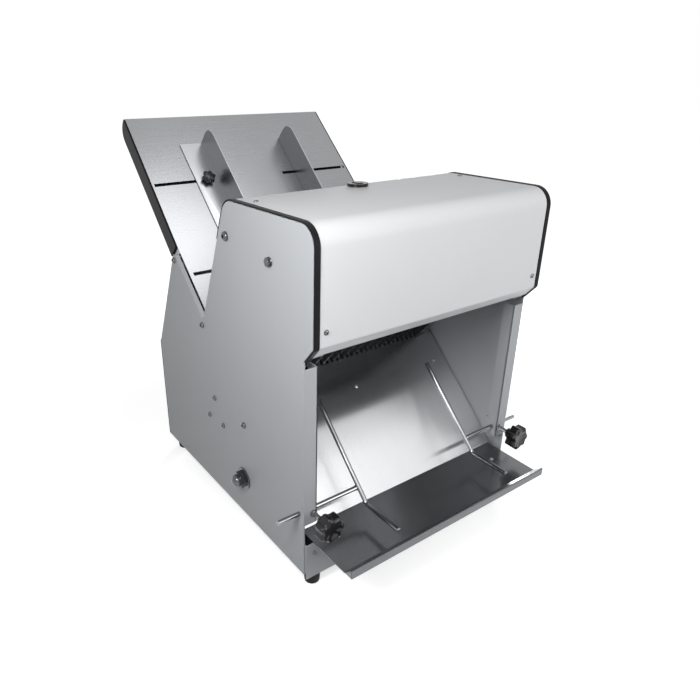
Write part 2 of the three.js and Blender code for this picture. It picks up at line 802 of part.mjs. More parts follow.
// The loop round two circles: their outer tangents and arcs
function loopRound(y0, z0, r0, y1, z1, r1) {
  const along = Math.atan2(z1 - z0, y1 - y0);
  const open = Math.acos((r0 - r1) / Math.hypot(y1 - y0, z1 - z0));
  const points = [];
  const addArc = (y, z, radius, start, turn) => {
    const steps = Math.ceil((turn / (2 * Math.PI)) * fineRound);
    for (let step = 0; step <= steps; step += 1) {
      const angle = start + (turn * step) / steps;
      points.push([y + radius * Math.cos(angle), z + radius * Math.sin(angle)]);
    }
  };
  addArc(y0, z0, r0, along + open, 2 * Math.PI - 2 * open);
  addArc(y1, z1, r1, along - open, 2 * open);
  return points;
}

place('motor_pulley', pulley(motorPulleyRadius, motorShaftRadius, motorY, motorZ), castIron);
place('crank_pulley', pulley(crankPulleyRadius, crankShaftRadius, crankY, crankZ), castIron);
const crankLoop = clear(crankPulleyRadius - grooveDepth, fineRound);
const motorLoop = clear(motorPulleyRadius - grooveDepth, fineRound);
const beltInner = loopRound(crankY, crankZ, crankLoop, motorY, motorZ, motorLoop);
const beltOuter = loopRound(crankY, crankZ, crankLoop + beltThickness,
  motorY, motorZ, motorLoop + beltThickness);
place('drive_belt', shaped([sideways(beltOuter, pulleyX - beltHalf, pulleyX + beltHalf, [beltInner])]),
  beltRubber);

// The crankshaft: a main shaft with two throws at each end, half a turn apart
const webRadius = 19;
const webThickness = 5;
const pinRadius = 5;
const rodHalf = 3;
const pinHalf = 4.5;
const outerThrowX = 160;
const innerThrowX = 140;
const bearingWidth = 13;
const bearingRadius = 40;
const bearingFloor = 3;
const shaftEnd = panelInner - joint - bearingFloor - joint;

const crankPieces = [];
for (const [, side] of sides) {
  crankPieces.push(rodX(crankShaftRadius, ...span(side, outerThrowX + pinHalf, shaftEnd), crankU, crankN));
  crankPieces.push(rodX(crankShaftRadius, ...span(side, innerThrowX + pinHalf, outerThrowX - pinHalf),
    crankU, crankN));
  for (const [x, shift] of [[outerThrowX, bladeThrow], [innerThrowX, -bladeThrow]]) {
    crankPieces.push(rodX(webRadius, ...span(side, x + pinHalf, x + pinHalf + webThickness), crankU, crankN));
    crankPieces.push(rodX(webRadius, ...span(side, x - pinHalf - webThickness, x - pinHalf), crankU, crankN));
    crankPieces.push(rodX(pinRadius, ...span(side, x - pinHalf - webThickness, x + pinHalf + webThickness),
      crankU + shift, crankN, smallRound));
  }
}
const middleEnd = innerThrowX - pinHalf;
crankPieces.push(rodX(crankShaftRadius, -middleEnd, middleEnd, crankU, crankN));
place('crankshaft', shaped(crankPieces), castIron, slopeGroup);

// Bearing housings inside the panels, each held by three screws from outside
const screwHeadRadius = 5;
const screwHeadHeight = 3;
for (const [sideName, side] of sides) {
  const outer = panelInner - joint;
  const pieces = [rodX(bearingRadius, ...span(side, outer - bearingWidth, outer), crankY, crankZ, fineRound)];
  for (const [y, z] of flangeBolts) {
    pieces.push(rodX(boltRadius,
      ...span(side, outer - bearingWidth, panelOuter + joint + screwHeadHeight / 2), y, z, smallRound));
    pieces.push(headX(screwHeadRadius, screwHeadHeight, side * (panelOuter + joint), y, z, side));
  }
  const bore = rodX(clear(crankShaftRadius, plainRound),
    ...span(side, outer - bearingWidth - overrun, outer - bearingFloor), crankY, crankZ);
  place(`crank_bearing_${sideName}`, shaped(pieces, [bore]), castIron);
}

// The connecting rods: an eye on the crank pin, a shank and a small eye under the frame
const bigEye = 9.5;
const smallEye = 7;
const smallBore = 3;
const shankHalf = 4;
const smallEndN = -75;

for (const [sideName, side] of sides) {
  for (const [rodName, x, shift] of [['a', outerThrowX, bladeThrow], ['b', innerThrowX, -bladeThrow]]) {
    const across = span(side, x - rodHalf, x + rodHalf);
    const reach = span(side, x - rodHalf - overrun, x + rodHalf + overrun);
    const pin = new THREE.Vector2(crankU + shift, crankN);
    const eye = new THREE.Vector2(crankU, smallEndN);
    const square = eye.clone().sub(pin).setLength(shankHalf);
    const shank = [
      [pin.x - square.y, pin.y + square.x],
      [pin.x + square.y, pin.y - square.x],
      [eye.x + square.y, eye.y - square.x],
      [eye.x - square.y, eye.y + square.x],
    ];
    place(`connecting_rod_${rodName}_${sideName}`, shaped([
      rodX(bigEye, ...across, pin.x, pin.y),
      rodX(smallEye, ...across, eye.x, eye.y),
      sideways(shank, ...across),
    ], [
      rodX(clear(pinRadius, smallRound), ...reach, pin.x, pin.y, smallRound),
      rodX(smallBore, ...reach, eye.x, eye.y, smallRound),
    ]), castIron, slopeGroup);
  }
}

// The blade frames: two bars and two posts that stretch every second blade,
// with lugs for the connecting rods
const postGap = 8;
const postWidth = 12;
const frameGap = 3;
const frameAFoot = -6;
const lowerBarTop = -30;
const lowerBarBottom = -44;
const upperBarBottom = 268;
const upperBarTop = 284;
const lugThickness = 6;
const lugFoot = -81;
const lugArmTop = -67;
const rodGap = 1;
const toothPitch = 40;
const toothDepth = 1.4;
const toothMiddle = 0.5;
const postInner = bladePlaces[bladeCount - 1] + postGap;
const postOuter = postInner + postWidth;

// A blade: a thin strip whose cutting edge, up the slope, is scalloped
function blade(x, footU) {
  const low = (lowerBarTop + lowerBarBottom) / 2;
  const high = (upperBarTop + upperBarBottom) / 2;
  const toothCount = Math.floor((upperBarBottom - lowerBarTop) / toothPitch);
  const outline = [[footU, high], [footU, low], [footU + bladeWidth, low], [footU + bladeWidth, lowerBarTop]];
  const tooth = (upperBarBottom - lowerBarTop) / toothCount;
  for (let index = 0; index < toothCount; index += 1) {
    outline.push([footU + bladeWidth - toothDepth, lowerBarTop + tooth * (index + toothMiddle)]);
    outline.push([footU + bladeWidth, lowerBarTop + tooth * (index + 1)]);
  }
  outline.push([footU + bladeWidth, high]);
  return sideways(outline, x - bladeSheet / 2, x + bladeSheet / 2);
}

for (const [frameName, footU, parity, throwX] of [
  ['a', frameAFoot, 0, outerThrowX],
  ['b', frameAFoot + bladeWidth + frameGap, 1, innerThrowX],
]) {
  const headU = footU + bladeWidth;
  const pieces = [
    block(-postOuter, postOuter, footU, headU, lowerBarBottom, lowerBarTop),
    block(-postOuter, postOuter, footU, headU, upperBarBottom, upperBarTop),
  ];
  const cuts = [];
  for (const [, side] of sides) {
    const lugOuter = throwX - rodHalf - rodGap;
    const across = span(side, lugOuter - lugThickness, lugOuter);
    pieces.push(block(...span(side, postInner, postOuter), footU, headU, lowerBarBottom, upperBarTop));
    pieces.push(block(...across, Math.min(footU, crankU - smallEye), Math.max(headU, crankU + smallEye),
      lugFoot, lugArmTop));
    pieces.push(block(...across, footU, headU, lugFoot, lowerBarTop));
    cuts.push(rodX(smallBore, ...span(side, lugOuter - lugThickness - overrun, lugOuter + overrun),
      crankU, smallEndN, smallRound));
  }
  bladePlaces.forEach((x, index) => {
    if (index % 2 === parity) pieces.push(blade(x, footU));
  });
  place(`blade_frame_${frameName}`, shaped(pieces, cuts), bladeSteel, slopeGroup);
}

// Nylon guide blocks on the panels, with a groove for each frame's post
const blockGrip = 6;
const blockMargin = 6;
const slide = 0.4;
const lowerBlock = [-62, -22];
const upperBlock = [200, 240];

for (const [sideName, side] of sides) {
  for (const [end, [low, high]] of [['lower', lowerBlock], ['upper', upperBlock]]) {
    const frameBFoot = frameAFoot + bladeWidth + frameGap;
    const cuts = [frameAFoot, frameBFoot].map((footU) =>
      block(...span(side, postInner, postOuter + slide), footU - slide, footU + bladeWidth + slide,
        low - overrun, high + overrun));
    place(`guide_block_${end}_${sideName}`, shaped([
      block(...span(side, postOuter - blockGrip, panelInner - joint), frameAFoot - blockMargin,
        frameBFoot + bladeWidth + blockMargin, low, high),
    ], cuts), nylon, slopeGroup);
  }
}

// The infeed guides: an angle with a rounded upper end, held by two bolts
// whose heads run under the table's slots
const guideWallX = 90.5;
const guideSheet = 2;
const guideHeight = 56;
const guideFootU = 96;
const guideTopU = 507;
const guideBaseX = 138.5;
const guideCornerRadius = 26;
const guideKnobX = 114;
const guideBoltTop = 20;
const guideBoltRadius = 2.8;
const guideHeadRadius = 7;
const guideHeadHeight = 4;
const guideKnobRadius = 16;
const guideKnobLobes = 7;
const guideKnobDepth = 4;
const guideKnobHeadHeight = 9;
const guideHubRadius = 8;
const guideHubHeight = 9;

for (const [sideName, side] of sides) {
  const wall = rounded([
    [guideFootU, joint],
    [guideTopU, joint],
    [guideTopU, guideHeight, guideCornerRadius],
    [guideFootU, guideHeight, guideCornerRadius],
  ], true);
  const pieces = [
    sideways(wall, ...span(side, guideWallX, guideWallX + guideSheet)),
    block(...span(side, guideWallX, guideBaseX), guideFootU, guideTopU, joint, joint + guideSheet),
  ];
  const headTop = -sheet - joint;
  const headBottom = headTop - guideHeadHeight;
  for (const u of slotUs) {
    pieces.push(rodZ(guideBoltRadius, side * guideKnobX, u, headBottom, guideBoltTop, smallRound));
    pieces.push(rodZ(guideHeadRadius, side * guideKnobX, u, headBottom, headTop, smallRound));
  }
  place(`infeed_guide_${sideName}`, shaped(pieces), satinSteel, slopeGroup);
  slotUs.forEach((u, index) => {
    const seat = joint + guideSheet + joint;
    const hubTop = seat + guideHubHeight;
    const boreRadius = clear(guideBoltRadius, smallRound);
    const end = ['lower', 'upper'][index];
    place(`infeed_knob_${end}_${sideName}`, shaped([
      rodZ(guideHubRadius, side * guideKnobX, u, seat, hubTop, plainRound),
      upright(lobes(side * guideKnobX, u, guideKnobRadius, guideKnobLobes, guideKnobDepth),
        hubTop, hubTop + guideKnobHeadHeight),
    ], [
      rodZ(boreRadius, side * guideKnobX, u, seat - overrun, guideBoltTop + joint, smallRound),
    ]), knobPlastic, slopeGroup);
  });
}

// The outfeed guides: a cross rod through the clamp, with a bent finger rod
const guideRodEnd = 280;
const junctionLeft = -122;
const junctionRight = 137;
const fingerTopY = 129;
const fingerTopZ = 231;
const fingerBendY = -12;
const fingerBendZ = 99;
const fingerEndY = -93;
const fingerBendRadius = 16;
const fingerBendSteps = 4;
const fingerSides = 5;
const weldInset = 1;

// A line through given points, stepped from point to point
class PointLine extends THREE.Curve {
  constructor(points) {
    super();
    this.points = points;
  }

  getPoint(share) {
    const reach = share * (this.points.length - 1);
    const index = Math.min(Math.floor(reach), this.points.length - 2);
    return this.points[index].clone().lerp(this.points[index + 1], reach - index);
  }

  getPointAt(share) {
    return this.getPoint(share);
  }

  getTangentAt(share) {
    return this.getTangent(share);
  }
}

// The finger: a long slanted leg, a bend and a short level leg
function fingerRod(x) {
  const top = new THREE.Vector3(x, fingerTopY, fingerTopZ);
  const corner = new THREE.Vector3(x, fingerBendY, fingerBendZ);
  const end = new THREE.Vector3(x, fingerEndY, fingerBendZ);
  const back = top.clone().sub(corner).setLength(fingerBendRadius).add(corner);
  const forth = end.clone().sub(corner).setLength(fingerBendRadius).add(corner);
  const bend = new THREE.QuadraticBezierCurve3(back, corner, forth).getPoints(fingerBendSteps);
  const line = new PointLine([top, ...bend, end]);
  return new THREE.ExtrudeGeometry(new THREE.Shape().absarc(0, 0, guideRodRadius, 0, 2 * Math.PI), {
    extrudePath: line,
    steps: line.points.length - 1,
    curveSegments: fingerSides,
  });
}

place('outfeed_guide_left', shaped([
  rodX(guideRodRadius, -guideRodEnd, junctionLeft - weldInset, guideRodY, guideRodZ),
  fingerRod(junctionLeft),
]), chrome);
place('outfeed_guide_right', shaped([
  rodX(guideRodRadius, junctionRight + weldInset, guideRodEnd, guideRodY, guideRodZ),
  fingerRod(junctionRight),
]), chrome);

// Clamp blocks in the front channels, with a stud and a lobed knob each
const clampBlockDepth = 28;
const clampBlockHalf = 14;
const clampKnobRadius = 26;
const clampKnobLobes = 7;
const clampKnobLobeDepth = 4.5;
const clampKnobFrontY = -55;
const clampKnobThickness = 20;
const clampHubRadius = 11;
const clampHubLength = 12;
const clampNutRadius = 8;
const clampNutLength = 5;

for (const [sideName, side] of sides) {
  const channelBack = panelOuter - channelWidth + panelSheet + joint;
  const frontY = panelSheet + joint;
  const studTip = guideRodY - guideRodRadius - joint;
  place(`rod_clamp_block_${sideName}`, shaped([
    block(...span(side, channelBack, panelInner - joint), frontY, frontY + clampBlockDepth,
      guideRodZ - clampBlockHalf, guideRodZ + clampBlockHalf),
  ], [
    rodX(clear(guideRodRadius, plainRound), ...span(side, channelBack - overrun, panelInner + overrun),
      guideRodY, guideRodZ),
    rodY(clear(clampStudRadius, smallRound), side * clampStudX, frontY - overrun, guideRodY,
      clampStudZ, smallRound),
  ]), castIron);
  const knobBack = clampKnobFrontY + clampKnobThickness;
  const knobOutline = lobes(0, 0, clampKnobRadius, clampKnobLobes, clampKnobLobeDepth);
  const head = upright(knobOutline, 0, clampKnobThickness);
  head.rotateX(Math.PI / 2).translate(side * clampStudX, knobBack, clampStudZ);
  place(`clamp_knob_${sideName}`, shaped([
    head,
    rodY(clampHubRadius, side * clampStudX, clampKnobFrontY, knobBack + clampHubLength, clampStudZ),
    rodY(clampStudRadius, side * clampStudX, clampKnobFrontY, studTip, clampStudZ, smallRound),
    rodY(clampNutRadius, side * clampStudX, -joint - clampNutLength, -joint, clampStudZ, hexRound),
  ]), knobPlastic);
}

// The whole stands on its feet, centred in depth and in width
const tableCorner = fromSlope(tableTopU - tableCornerRadius, tableCornerRadius - tableFlange);
const tableRear = tableCorner[0] + tableCornerRadius;
const trayFront = trayFrontY - trayLipReach;
machine.position.set(0, -(tableRear + trayFront) / 2, footHeight);
const slicer = new THREE.Group();
slicer.add(machine);

export default slicer;
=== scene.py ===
# %% [markdown]
# # A bench bread slicing machine
# The machine is a painted sheet steel casing. A loaf slides down a steel table
# at the rear, passes two frames of blades under the cover, and comes out as
# slices on a polished plate and a dark tray. The solids come from the packed
# model. This lesson gives them the finish of the real thing: bent sheet with
# soft folds, rolled edges, turned rods, moulded knobs and toothed blades.

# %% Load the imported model
import bpy
import bmesh
import json
from math import radians, sin, cos, tan, pi, atan2
from mathutils import Vector, Matrix

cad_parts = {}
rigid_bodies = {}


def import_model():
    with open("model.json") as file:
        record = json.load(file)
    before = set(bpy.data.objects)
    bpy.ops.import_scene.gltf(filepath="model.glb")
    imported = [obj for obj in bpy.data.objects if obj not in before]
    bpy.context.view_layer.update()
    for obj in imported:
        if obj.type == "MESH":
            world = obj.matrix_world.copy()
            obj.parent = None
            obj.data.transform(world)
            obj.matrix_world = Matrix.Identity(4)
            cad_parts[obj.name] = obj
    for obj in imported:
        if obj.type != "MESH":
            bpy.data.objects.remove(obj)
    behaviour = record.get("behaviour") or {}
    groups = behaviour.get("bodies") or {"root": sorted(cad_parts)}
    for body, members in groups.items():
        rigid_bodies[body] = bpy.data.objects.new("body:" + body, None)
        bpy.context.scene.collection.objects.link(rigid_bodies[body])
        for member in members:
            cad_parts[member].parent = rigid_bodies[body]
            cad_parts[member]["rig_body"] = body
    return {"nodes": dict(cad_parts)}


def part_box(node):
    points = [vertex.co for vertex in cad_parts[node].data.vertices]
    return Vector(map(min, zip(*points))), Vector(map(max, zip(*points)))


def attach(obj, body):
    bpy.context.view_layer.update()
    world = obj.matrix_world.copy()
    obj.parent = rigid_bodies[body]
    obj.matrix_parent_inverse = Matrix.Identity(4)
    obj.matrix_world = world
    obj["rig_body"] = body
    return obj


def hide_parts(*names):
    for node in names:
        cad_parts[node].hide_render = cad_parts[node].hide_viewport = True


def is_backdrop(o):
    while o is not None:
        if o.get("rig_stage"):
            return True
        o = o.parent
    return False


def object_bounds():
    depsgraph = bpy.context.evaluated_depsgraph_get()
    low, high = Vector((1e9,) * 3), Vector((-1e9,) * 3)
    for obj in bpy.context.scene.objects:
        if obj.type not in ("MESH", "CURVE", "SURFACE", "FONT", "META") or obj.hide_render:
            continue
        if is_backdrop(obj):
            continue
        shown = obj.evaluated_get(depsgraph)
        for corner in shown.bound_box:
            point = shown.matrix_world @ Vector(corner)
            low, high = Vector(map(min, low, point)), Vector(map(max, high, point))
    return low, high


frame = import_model()
cad_low, cad_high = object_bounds()
print("solids:", len(frame["nodes"]), "box:", [round(v, 3) for v in (*cad_low, *cad_high)])

# %% [markdown]
# ## Where things are
# All places follow the side panel. Depth is counted from its front edge and
# height from its lower edge, in metres. The table, the plate and the blades
# lie on one slope, which starts at the foot of the blades: u runs up it and n
# stands square to it.

# %% Measure the casing
NOSE = 0.022
SLOPE_ANGLE = radians(42.5)
BLADE_FOOT = (0.215, 0.2574)
panel_low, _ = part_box("side_panel_left")
front = panel_low.y + NOSE
base = panel_low.z
half_width = -panel_low.x
print("front edge at", round(front, 4), "lower edge at", round(base, 4))
print("half width", round(half_width, 4))


def spot(x, y, z):
    """A point by its depth from the front edge and its height over the lower edge."""
    return Vector((x, y + front, z + base))


slope_frame = Matrix.Translation(spot(0, *BLADE_FOOT)) @ Matrix.Rotation(SLOPE_ANGLE, 4, "X")
casing_frame = Matrix.Translation(spot(0, 0, 0))
in_place = Matrix.Identity(4)
table_lean = tan(SLOPE_ANGLE)

# %% [markdown]
# ## Turning meshes into pieces
# Every piece is modelled in one of the two frames, moved into place in its
# mesh, and tied to the body it moves with. Its faces are smooth, with sharp
# edges kept where two faces meet at more than a set angle. A bevel modifier
# rounds only those edges, which is quicker than bevelling them one by one.

# %% Finish a piece
SHARP = radians(32)


def to_mesh(name, bm):
    """A mesh made from a bmesh, which is then set free."""
    mesh = bpy.data.meshes.new(name)
    bm.to_mesh(mesh)
    bm.free()
    return mesh


def to_scene(name, data):
    """An object in the scene that holds a mesh, a lamp or a camera."""
    holder = bpy.data.objects.new(name, data)
    bpy.context.scene.collection.objects.link(holder)
    return holder


def finish(name, bm, body, material, replaces=(), place=casing_frame,
           soften=0.0, segments=2):
    """Turn a bmesh into a piece of the machine that rides on a body."""
    bmesh.ops.transform(bm, matrix=place, verts=bm.verts)
    bmesh.ops.recalc_face_normals(bm, faces=bm.faces)
    mesh = to_mesh(name, bm)
    piece = to_scene(name, mesh)
    mesh.materials.append(material)
    mesh.shade_smooth()
    mesh.set_sharp_from_angle(angle=SHARP)
    if soften:
        rounding = piece.modifiers.new("soft edges", "BEVEL")
        rounding.width = soften
        rounding.segments = segments
        rounding.limit_method = "ANGLE"
        rounding.angle_limit = SHARP
        rounding.harden_normals = True
    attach(piece, body)
    if replaces:
        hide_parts(*replaces)
    return piece


# %% [markdown]
# ## Finishes
# Each finish is a small node tree. Patterns read Object coordinates, which
# are metres here, so a scale of 900 gives marks of about a millimetre. An
# image would do too, but every piece would then need a UV map. A shared
# group makes the fine unevenness that every real surface has.

# %% A group for fine unevenness
def add_node(tree, kind, values=(), **settings):
    """A new node with its settings made and the values of its inputs filled in."""
    node = tree.nodes.new("ShaderNode" + kind)
    for name, setting in settings.items():
        setattr(node, name, setting)
    for socket, value in dict(values).items():
        node.inputs[socket].default_value = value
    return node


def wire(source, output, target, socket):
    """Link an output of one node to an input of another."""
    source.id_data.links.new(source.outputs[output], target.inputs[socket])


def make_unevenness():
    """A group that gives two masks: broad clouds, and fine grain that can be stretched."""
    group = bpy.data.node_groups.new("fine unevenness", "ShaderNodeTree")
    face = group.interface
    for socket, kind, value in (("Cloud scale", "Float", 6.0), ("Grain scale", "Float", 700.0),
                                ("Stretch", "Vector", (1.0, 1.0, 1.0))):
        entry = face.new_socket(socket, in_out="INPUT", socket_type="NodeSocket" + kind)
        entry.default_value = value
    for socket in ("Clouds", "Grain"):
        face.new_socket(socket, in_out="OUTPUT", socket_type="NodeSocketFloat")
    entry = group.nodes.new("NodeGroupInput")
    place = add_node(group, "TexCoord")
    stretch = add_node(group, "VectorMath", operation="MULTIPLY")
    clouds = add_node(group, "TexNoise", {"Detail": 3})
    grain = add_node(group, "TexNoise", {"Detail": 4})
    out = group.nodes.new("NodeGroupOutput")
    wire(place, "Object", clouds, "Vector")
    wire(entry, "Cloud scale", clouds, "Scale")
    wire(place, "Object", stretch, 0)
    wire(entry, "Stretch", stretch, 1)
    wire(stretch, "Vector", grain, "Vector")
    wire(entry, "Grain scale", grain, "Scale")
    wire(clouds, "Fac", out, "Clouds")
    wire(grain, "Fac", out, "Grain")
    return group


unevenness = make_unevenness()
print("nodes in the group:", len(unevenness.nodes))

# %% [markdown]
# A finish mixes a dark and a light tone by clouds and grain together. The
# same mask moves the roughness, so that tone and gloss change together as on
# real metal and paint, and the grain alone raises the surface.

# %% Build a finish from a few plain values
CLOUD_SHARE, GRAIN_SHARE = 0.55, 0.45
COAT_ROUGHNESS = 0.12
RELIEF_DEPTH = 0.0004


def finish_material(name, dark, light, rough, metal=0.0, grain=700, stretch=(1, 1, 1),
                    clouds=6, bump=0.05, coat=0.0, specular=0.5, anisotropic=0.0):
    """A finish whose colour, roughness and bump vary a little over the surface.

    An anisotropic finish smears its reflections along X.
    """
    material = bpy.data.materials.new(name)
    material.use_nodes = True
    tree = material.node_tree
    shader = tree.nodes["Principled BSDF"]
    for socket, value in (("Metallic", metal), ("Coat Weight", coat),
                          ("Coat Roughness", COAT_ROUGHNESS),
                          ("Specular IOR Level", specular), ("Anisotropic", anisotropic)):
        shader.inputs[socket].default_value = value
    if anisotropic:
        across = add_node(tree, "CombineXYZ", {"X": 1.0})
        wire(across, "Vector", shader, "Tangent")
    marks = add_node(tree, "Group", {"Cloud scale": clouds, "Grain scale": grain,
                                     "Stretch": stretch}, node_tree=unevenness)
    tone = add_node(tree, "Mix", {"A": (*dark, 1), "B": (*light, 1)}, data_type="RGBA")
    shade = add_node(tree, "Math", {1: GRAIN_SHARE}, operation="MULTIPLY_ADD")
    blend = add_node(tree, "Math", {1: CLOUD_SHARE}, operation="MULTIPLY")
    wire(marks, "Clouds", blend, 0)
    wire(marks, "Grain", shade, 0)
    wire(blend, "Value", shade, 2)
    wire(shade, "Value", tone, "Factor")
    wire(tone, "Result", shader, "Base Color")
    spread = add_node(tree, "MapRange", {"To Min": rough[0], "To Max": rough[1]})
    wire(shade, "Value", spread, "Value")
    wire(spread, "Result", shader, "Roughness")
    relief = add_node(tree, "Bump", {"Strength": bump, "Distance": RELIEF_DEPTH})
    wire(marks, "Grain", relief, "Height")
    wire(relief, "Normal", shader, "Normal")
    return material


# %% [markdown]
# The panels are satin grey paint and the cover is a paler one, both with a
# fine orange peel. The table is satin stainless steel with faint streaks
# across the slope, and the guides' grain runs along them. The plate is
# polished along the slope: it smears reflections sideways and keeps them
# crisp up and down. The tray has a dark glossy coat. Mouldings are matt
# rubber, knobs are glossy moulded plastic, and the guide rods are chromed,
# with their chrome darkened as a painted dark reflection. One function makes
# them all from a dark tone, a light tone and a range of roughness, so they
# differ only in their values.

# %% The finishes of this machine
panel_paint = finish_material(
    "panel paint", (0.43, 0.445, 0.465), (0.49, 0.505, 0.525), (0.34, 0.46),
    grain=900, bump=0.04, specular=0.14)
cover_paint = finish_material(
    "cover paint", (0.71, 0.72, 0.735), (0.77, 0.78, 0.795), (0.28, 0.38),
    grain=900, bump=0.04, specular=0.1)
satin_steel = finish_material(
    "satin steel", (0.265, 0.27, 0.28), (0.325, 0.33, 0.34), (0.22, 0.32), metal=1.0,
    grain=240, stretch=(0.08, 1, 1), clouds=3, bump=0.08, anisotropic=0.4)
guide_steel = finish_material(
    "guide steel", (0.35, 0.36, 0.375), (0.42, 0.43, 0.445), (0.24, 0.32), metal=1.0,
    grain=240, stretch=(1, 0.08, 0.08), clouds=5, bump=0.06)
mirror_steel = finish_material(
    "polished steel", (0.64, 0.65, 0.66), (0.72, 0.73, 0.74), (0.2, 0.24), metal=0.97,
    grain=220, stretch=(1, 0.06, 0.06), clouds=4, bump=0.01, anisotropic=1.0)
tray_coat = finish_material(
    "dark tray coat", (0.115, 0.12, 0.127), (0.172, 0.178, 0.187), (0.16, 0.28), metal=0.7,
    grain=300, clouds=9, bump=0.02, coat=0.3)
# These tones are far darker than chrome is: they are a painted dark reflection, as if dim
# surroundings showed in the rods and studs.
chrome = finish_material(
    "chrome", (0.24, 0.245, 0.255), (0.34, 0.345, 0.355), (0.08, 0.16), metal=1.0,
    grain=500, clouds=20, bump=0.02)
# These tones are far darker than steel is: they are painted shade that stands for dark reflections
# in the heads, nuts, rods and bearings.
bolt_steel_painted_shade = finish_material(
    "bolt steel with painted shade", (0.07, 0.073, 0.08), (0.17, 0.174, 0.182), (0.1, 0.2), metal=1.0,
    grain=600, clouds=60, bump=0.05)
black_trim = finish_material(
    "black edge moulding", (0.006, 0.006, 0.007), (0.013, 0.013, 0.015), (0.35, 0.5),
    grain=1200, bump=0.1, specular=0.08)
black_rubber = finish_material(
    "black rubber", (0.006, 0.006, 0.006), (0.016, 0.016, 0.016), (0.55, 0.75),
    grain=900, bump=0.3, specular=0.25)
knob_plastic = finish_material(
    "knob plastic", (0.004, 0.004, 0.005), (0.01, 0.01, 0.011), (0.16, 0.28),
    grain=1500, bump=0.05, coat=0.1, specular=0.35)
nylon = finish_material(
    "nylon", (0.36, 0.35, 0.31), (0.46, 0.45, 0.4), (0.4, 0.55), grain=700, bump=0.08)
cast_iron = finish_material(
    "machined iron", (0.05, 0.053, 0.057), (0.12, 0.125, 0.13), (0.4, 0.6), metal=0.8,
    grain=500, bump=0.3)
motor_paint = finish_material(
    "motor paint", (0.04, 0.055, 0.075), (0.06, 0.08, 0.105), (0.35, 0.5), metal=0.1,
    grain=600, bump=0.25)
blade_steel = finish_material(
    "blade steel", (0.26, 0.27, 0.28), (0.36, 0.37, 0.38), (0.16, 0.28), metal=1.0,
    grain=300, stretch=(1, 0.1, 0.1), bump=0.04)
belt_rubber = finish_material(
    "belt rubber", (0.01, 0.01, 0.01), (0.022, 0.022, 0.022), (0.6, 0.75),
    grain=800, bump=0.3)
print("finishes:", len(bpy.data.materials))

# %% [markdown]
# ## Solids that keep their shape
# The flat sheets, blocks and some of the works inside already have the right
# form, so a merged copy with softened edges takes their place. Merging turns
# the loose triangles into faces, and the bevel gives each edge the small round
# that catches the light.

# %% Dress a solid in a finish
SAME_POINT = 1e-6
FLAT = radians(1)


def dress(node, material, soften=0.0005, segments=2):
    """A merged copy of a solid, with its edges softened, stands for it."""
    bm = bmesh.new()
    bm.from_mesh(frame["nodes"][node].data)
    bmesh.ops.remove_doubles(bm, verts=bm.verts, dist=SAME_POINT)
    bmesh.ops.dissolve_limit(bm, angle_limit=FLAT, verts=bm.verts, edges=bm.edges)
    return finish(node + "_dressed", bm, frame["nodes"][node]["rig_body"], material, [node],
                  place=in_place, soften=soften, segments=segments)


SIDES = (("left", -1), ("right", 1))
plain_solids = [
    ("base_pan", panel_paint, "panel_paint"),
    ("rear_panel", panel_paint, "panel_paint"),
    ("outfeed_plate", mirror_steel, "mirror_steel"),
    ("motor_cradle", cast_iron, "cast_iron"),
    ("drive_belt", belt_rubber, "belt_rubber"),
    ("crankshaft", cast_iron, "cast_iron"),
]
for end in ("lower", "upper"):
    for side, _ in SIDES:
        plain_solids.append((f"guide_block_{end}_{side}", nylon, "nylon"))
for side, _ in SIDES:
    plain_solids.append((f"rod_clamp_block_{side}", panel_paint, "cast_iron"))
    plain_solids.append((f"rear_edge_trim_{side}", black_trim, "black_trim"))
    for rod in ("a", "b"):
        plain_solids.append((f"connecting_rod_{rod}_{side}", cast_iron, "cast_iron"))
for node, material, slot in plain_solids:
    dress(node, material)
print("dressed solids:", len(plain_solids))

# %% [markdown]
# ## Bent sheet
# A press brake folds a flat sheet along straight lines. The same is done
# here: a row of points is drawn out along X into flat faces, each fold edge
# is bevelled to its bend radius, and the sheet gets its thickness last. A
# curve with a depth would bend too, but not to a set radius at each fold.

# %% Fold a sheet
FOLD_STEPS = 10
VERT, FACE = bmesh.types.BMVert, bmesh.types.BMFace


def only(kind, made):
    """The vertices, or the faces, among what an operator gives back."""
    return [item for item in made if isinstance(item, kind)]


def fold_sheet(corners, x_low, x_high, thickness, steps=FOLD_STEPS):
    """A sheet through corners (y, z, bend radius), thickened to the left of the line."""
    bm = bmesh.new()
    row = [bm.verts.new((x_low, y, z)) for y, z, _ in corners]
    edges = [bm.edges.new(pair) for pair in zip(row, row[1:])]
    drawn = bmesh.ops.extrude_edge_only(bm, edges=edges)
    bmesh.ops.translate(bm, vec=(x_high - x_low, 0, 0), verts=only(VERT, drawn["geom"]))
    bm.verts.ensure_lookup_table()
    for before, corner, after in zip(corners, corners[1:], corners[2:]):
        if not corner[2]:
            continue
        here = Vector(corner[:2])
        turn = (here - Vector(before[:2])).angle(Vector(after[:2]) - here)
        fold = [edge for edge in bm.edges
                if all((v.co.yz - here).length < SAME_POINT for v in edge.verts)]
        bmesh.ops.bevel(bm, geom=fold, offset=corner[2] * tan(turn / 2), offset_type="OFFSET",
                        affect="EDGES", segments=steps, profile=0.5, material=-1)
    bmesh.ops.recalc_face_normals(bm, faces=bm.faces)
    start = Vector(corners[0][:2])
    first = min(bm.faces, key=lambda face: (face.calc_center_median().yz - start).length)
    along = Vector(corners[1][:2]) - start
    left = Vector((-along.y, along.x))
    if first.normal.yz.dot(left) > 0:
        bmesh.ops.reverse_faces(bm, faces=bm.faces)
    bmesh.ops.solidify(bm, geom=bm.faces, thickness=thickness)
    return bm


# %% [markdown]
# ## The cover
# One sheet runs from the lip under the nose, over the front and the top, to
# the slanted rear. The front bend is wide and soft. A bevelled box would give
# all its edges one radius, so the cover is folded like the real one. The line
# lies on the sheet's inner face, so the thickness grows outwards.

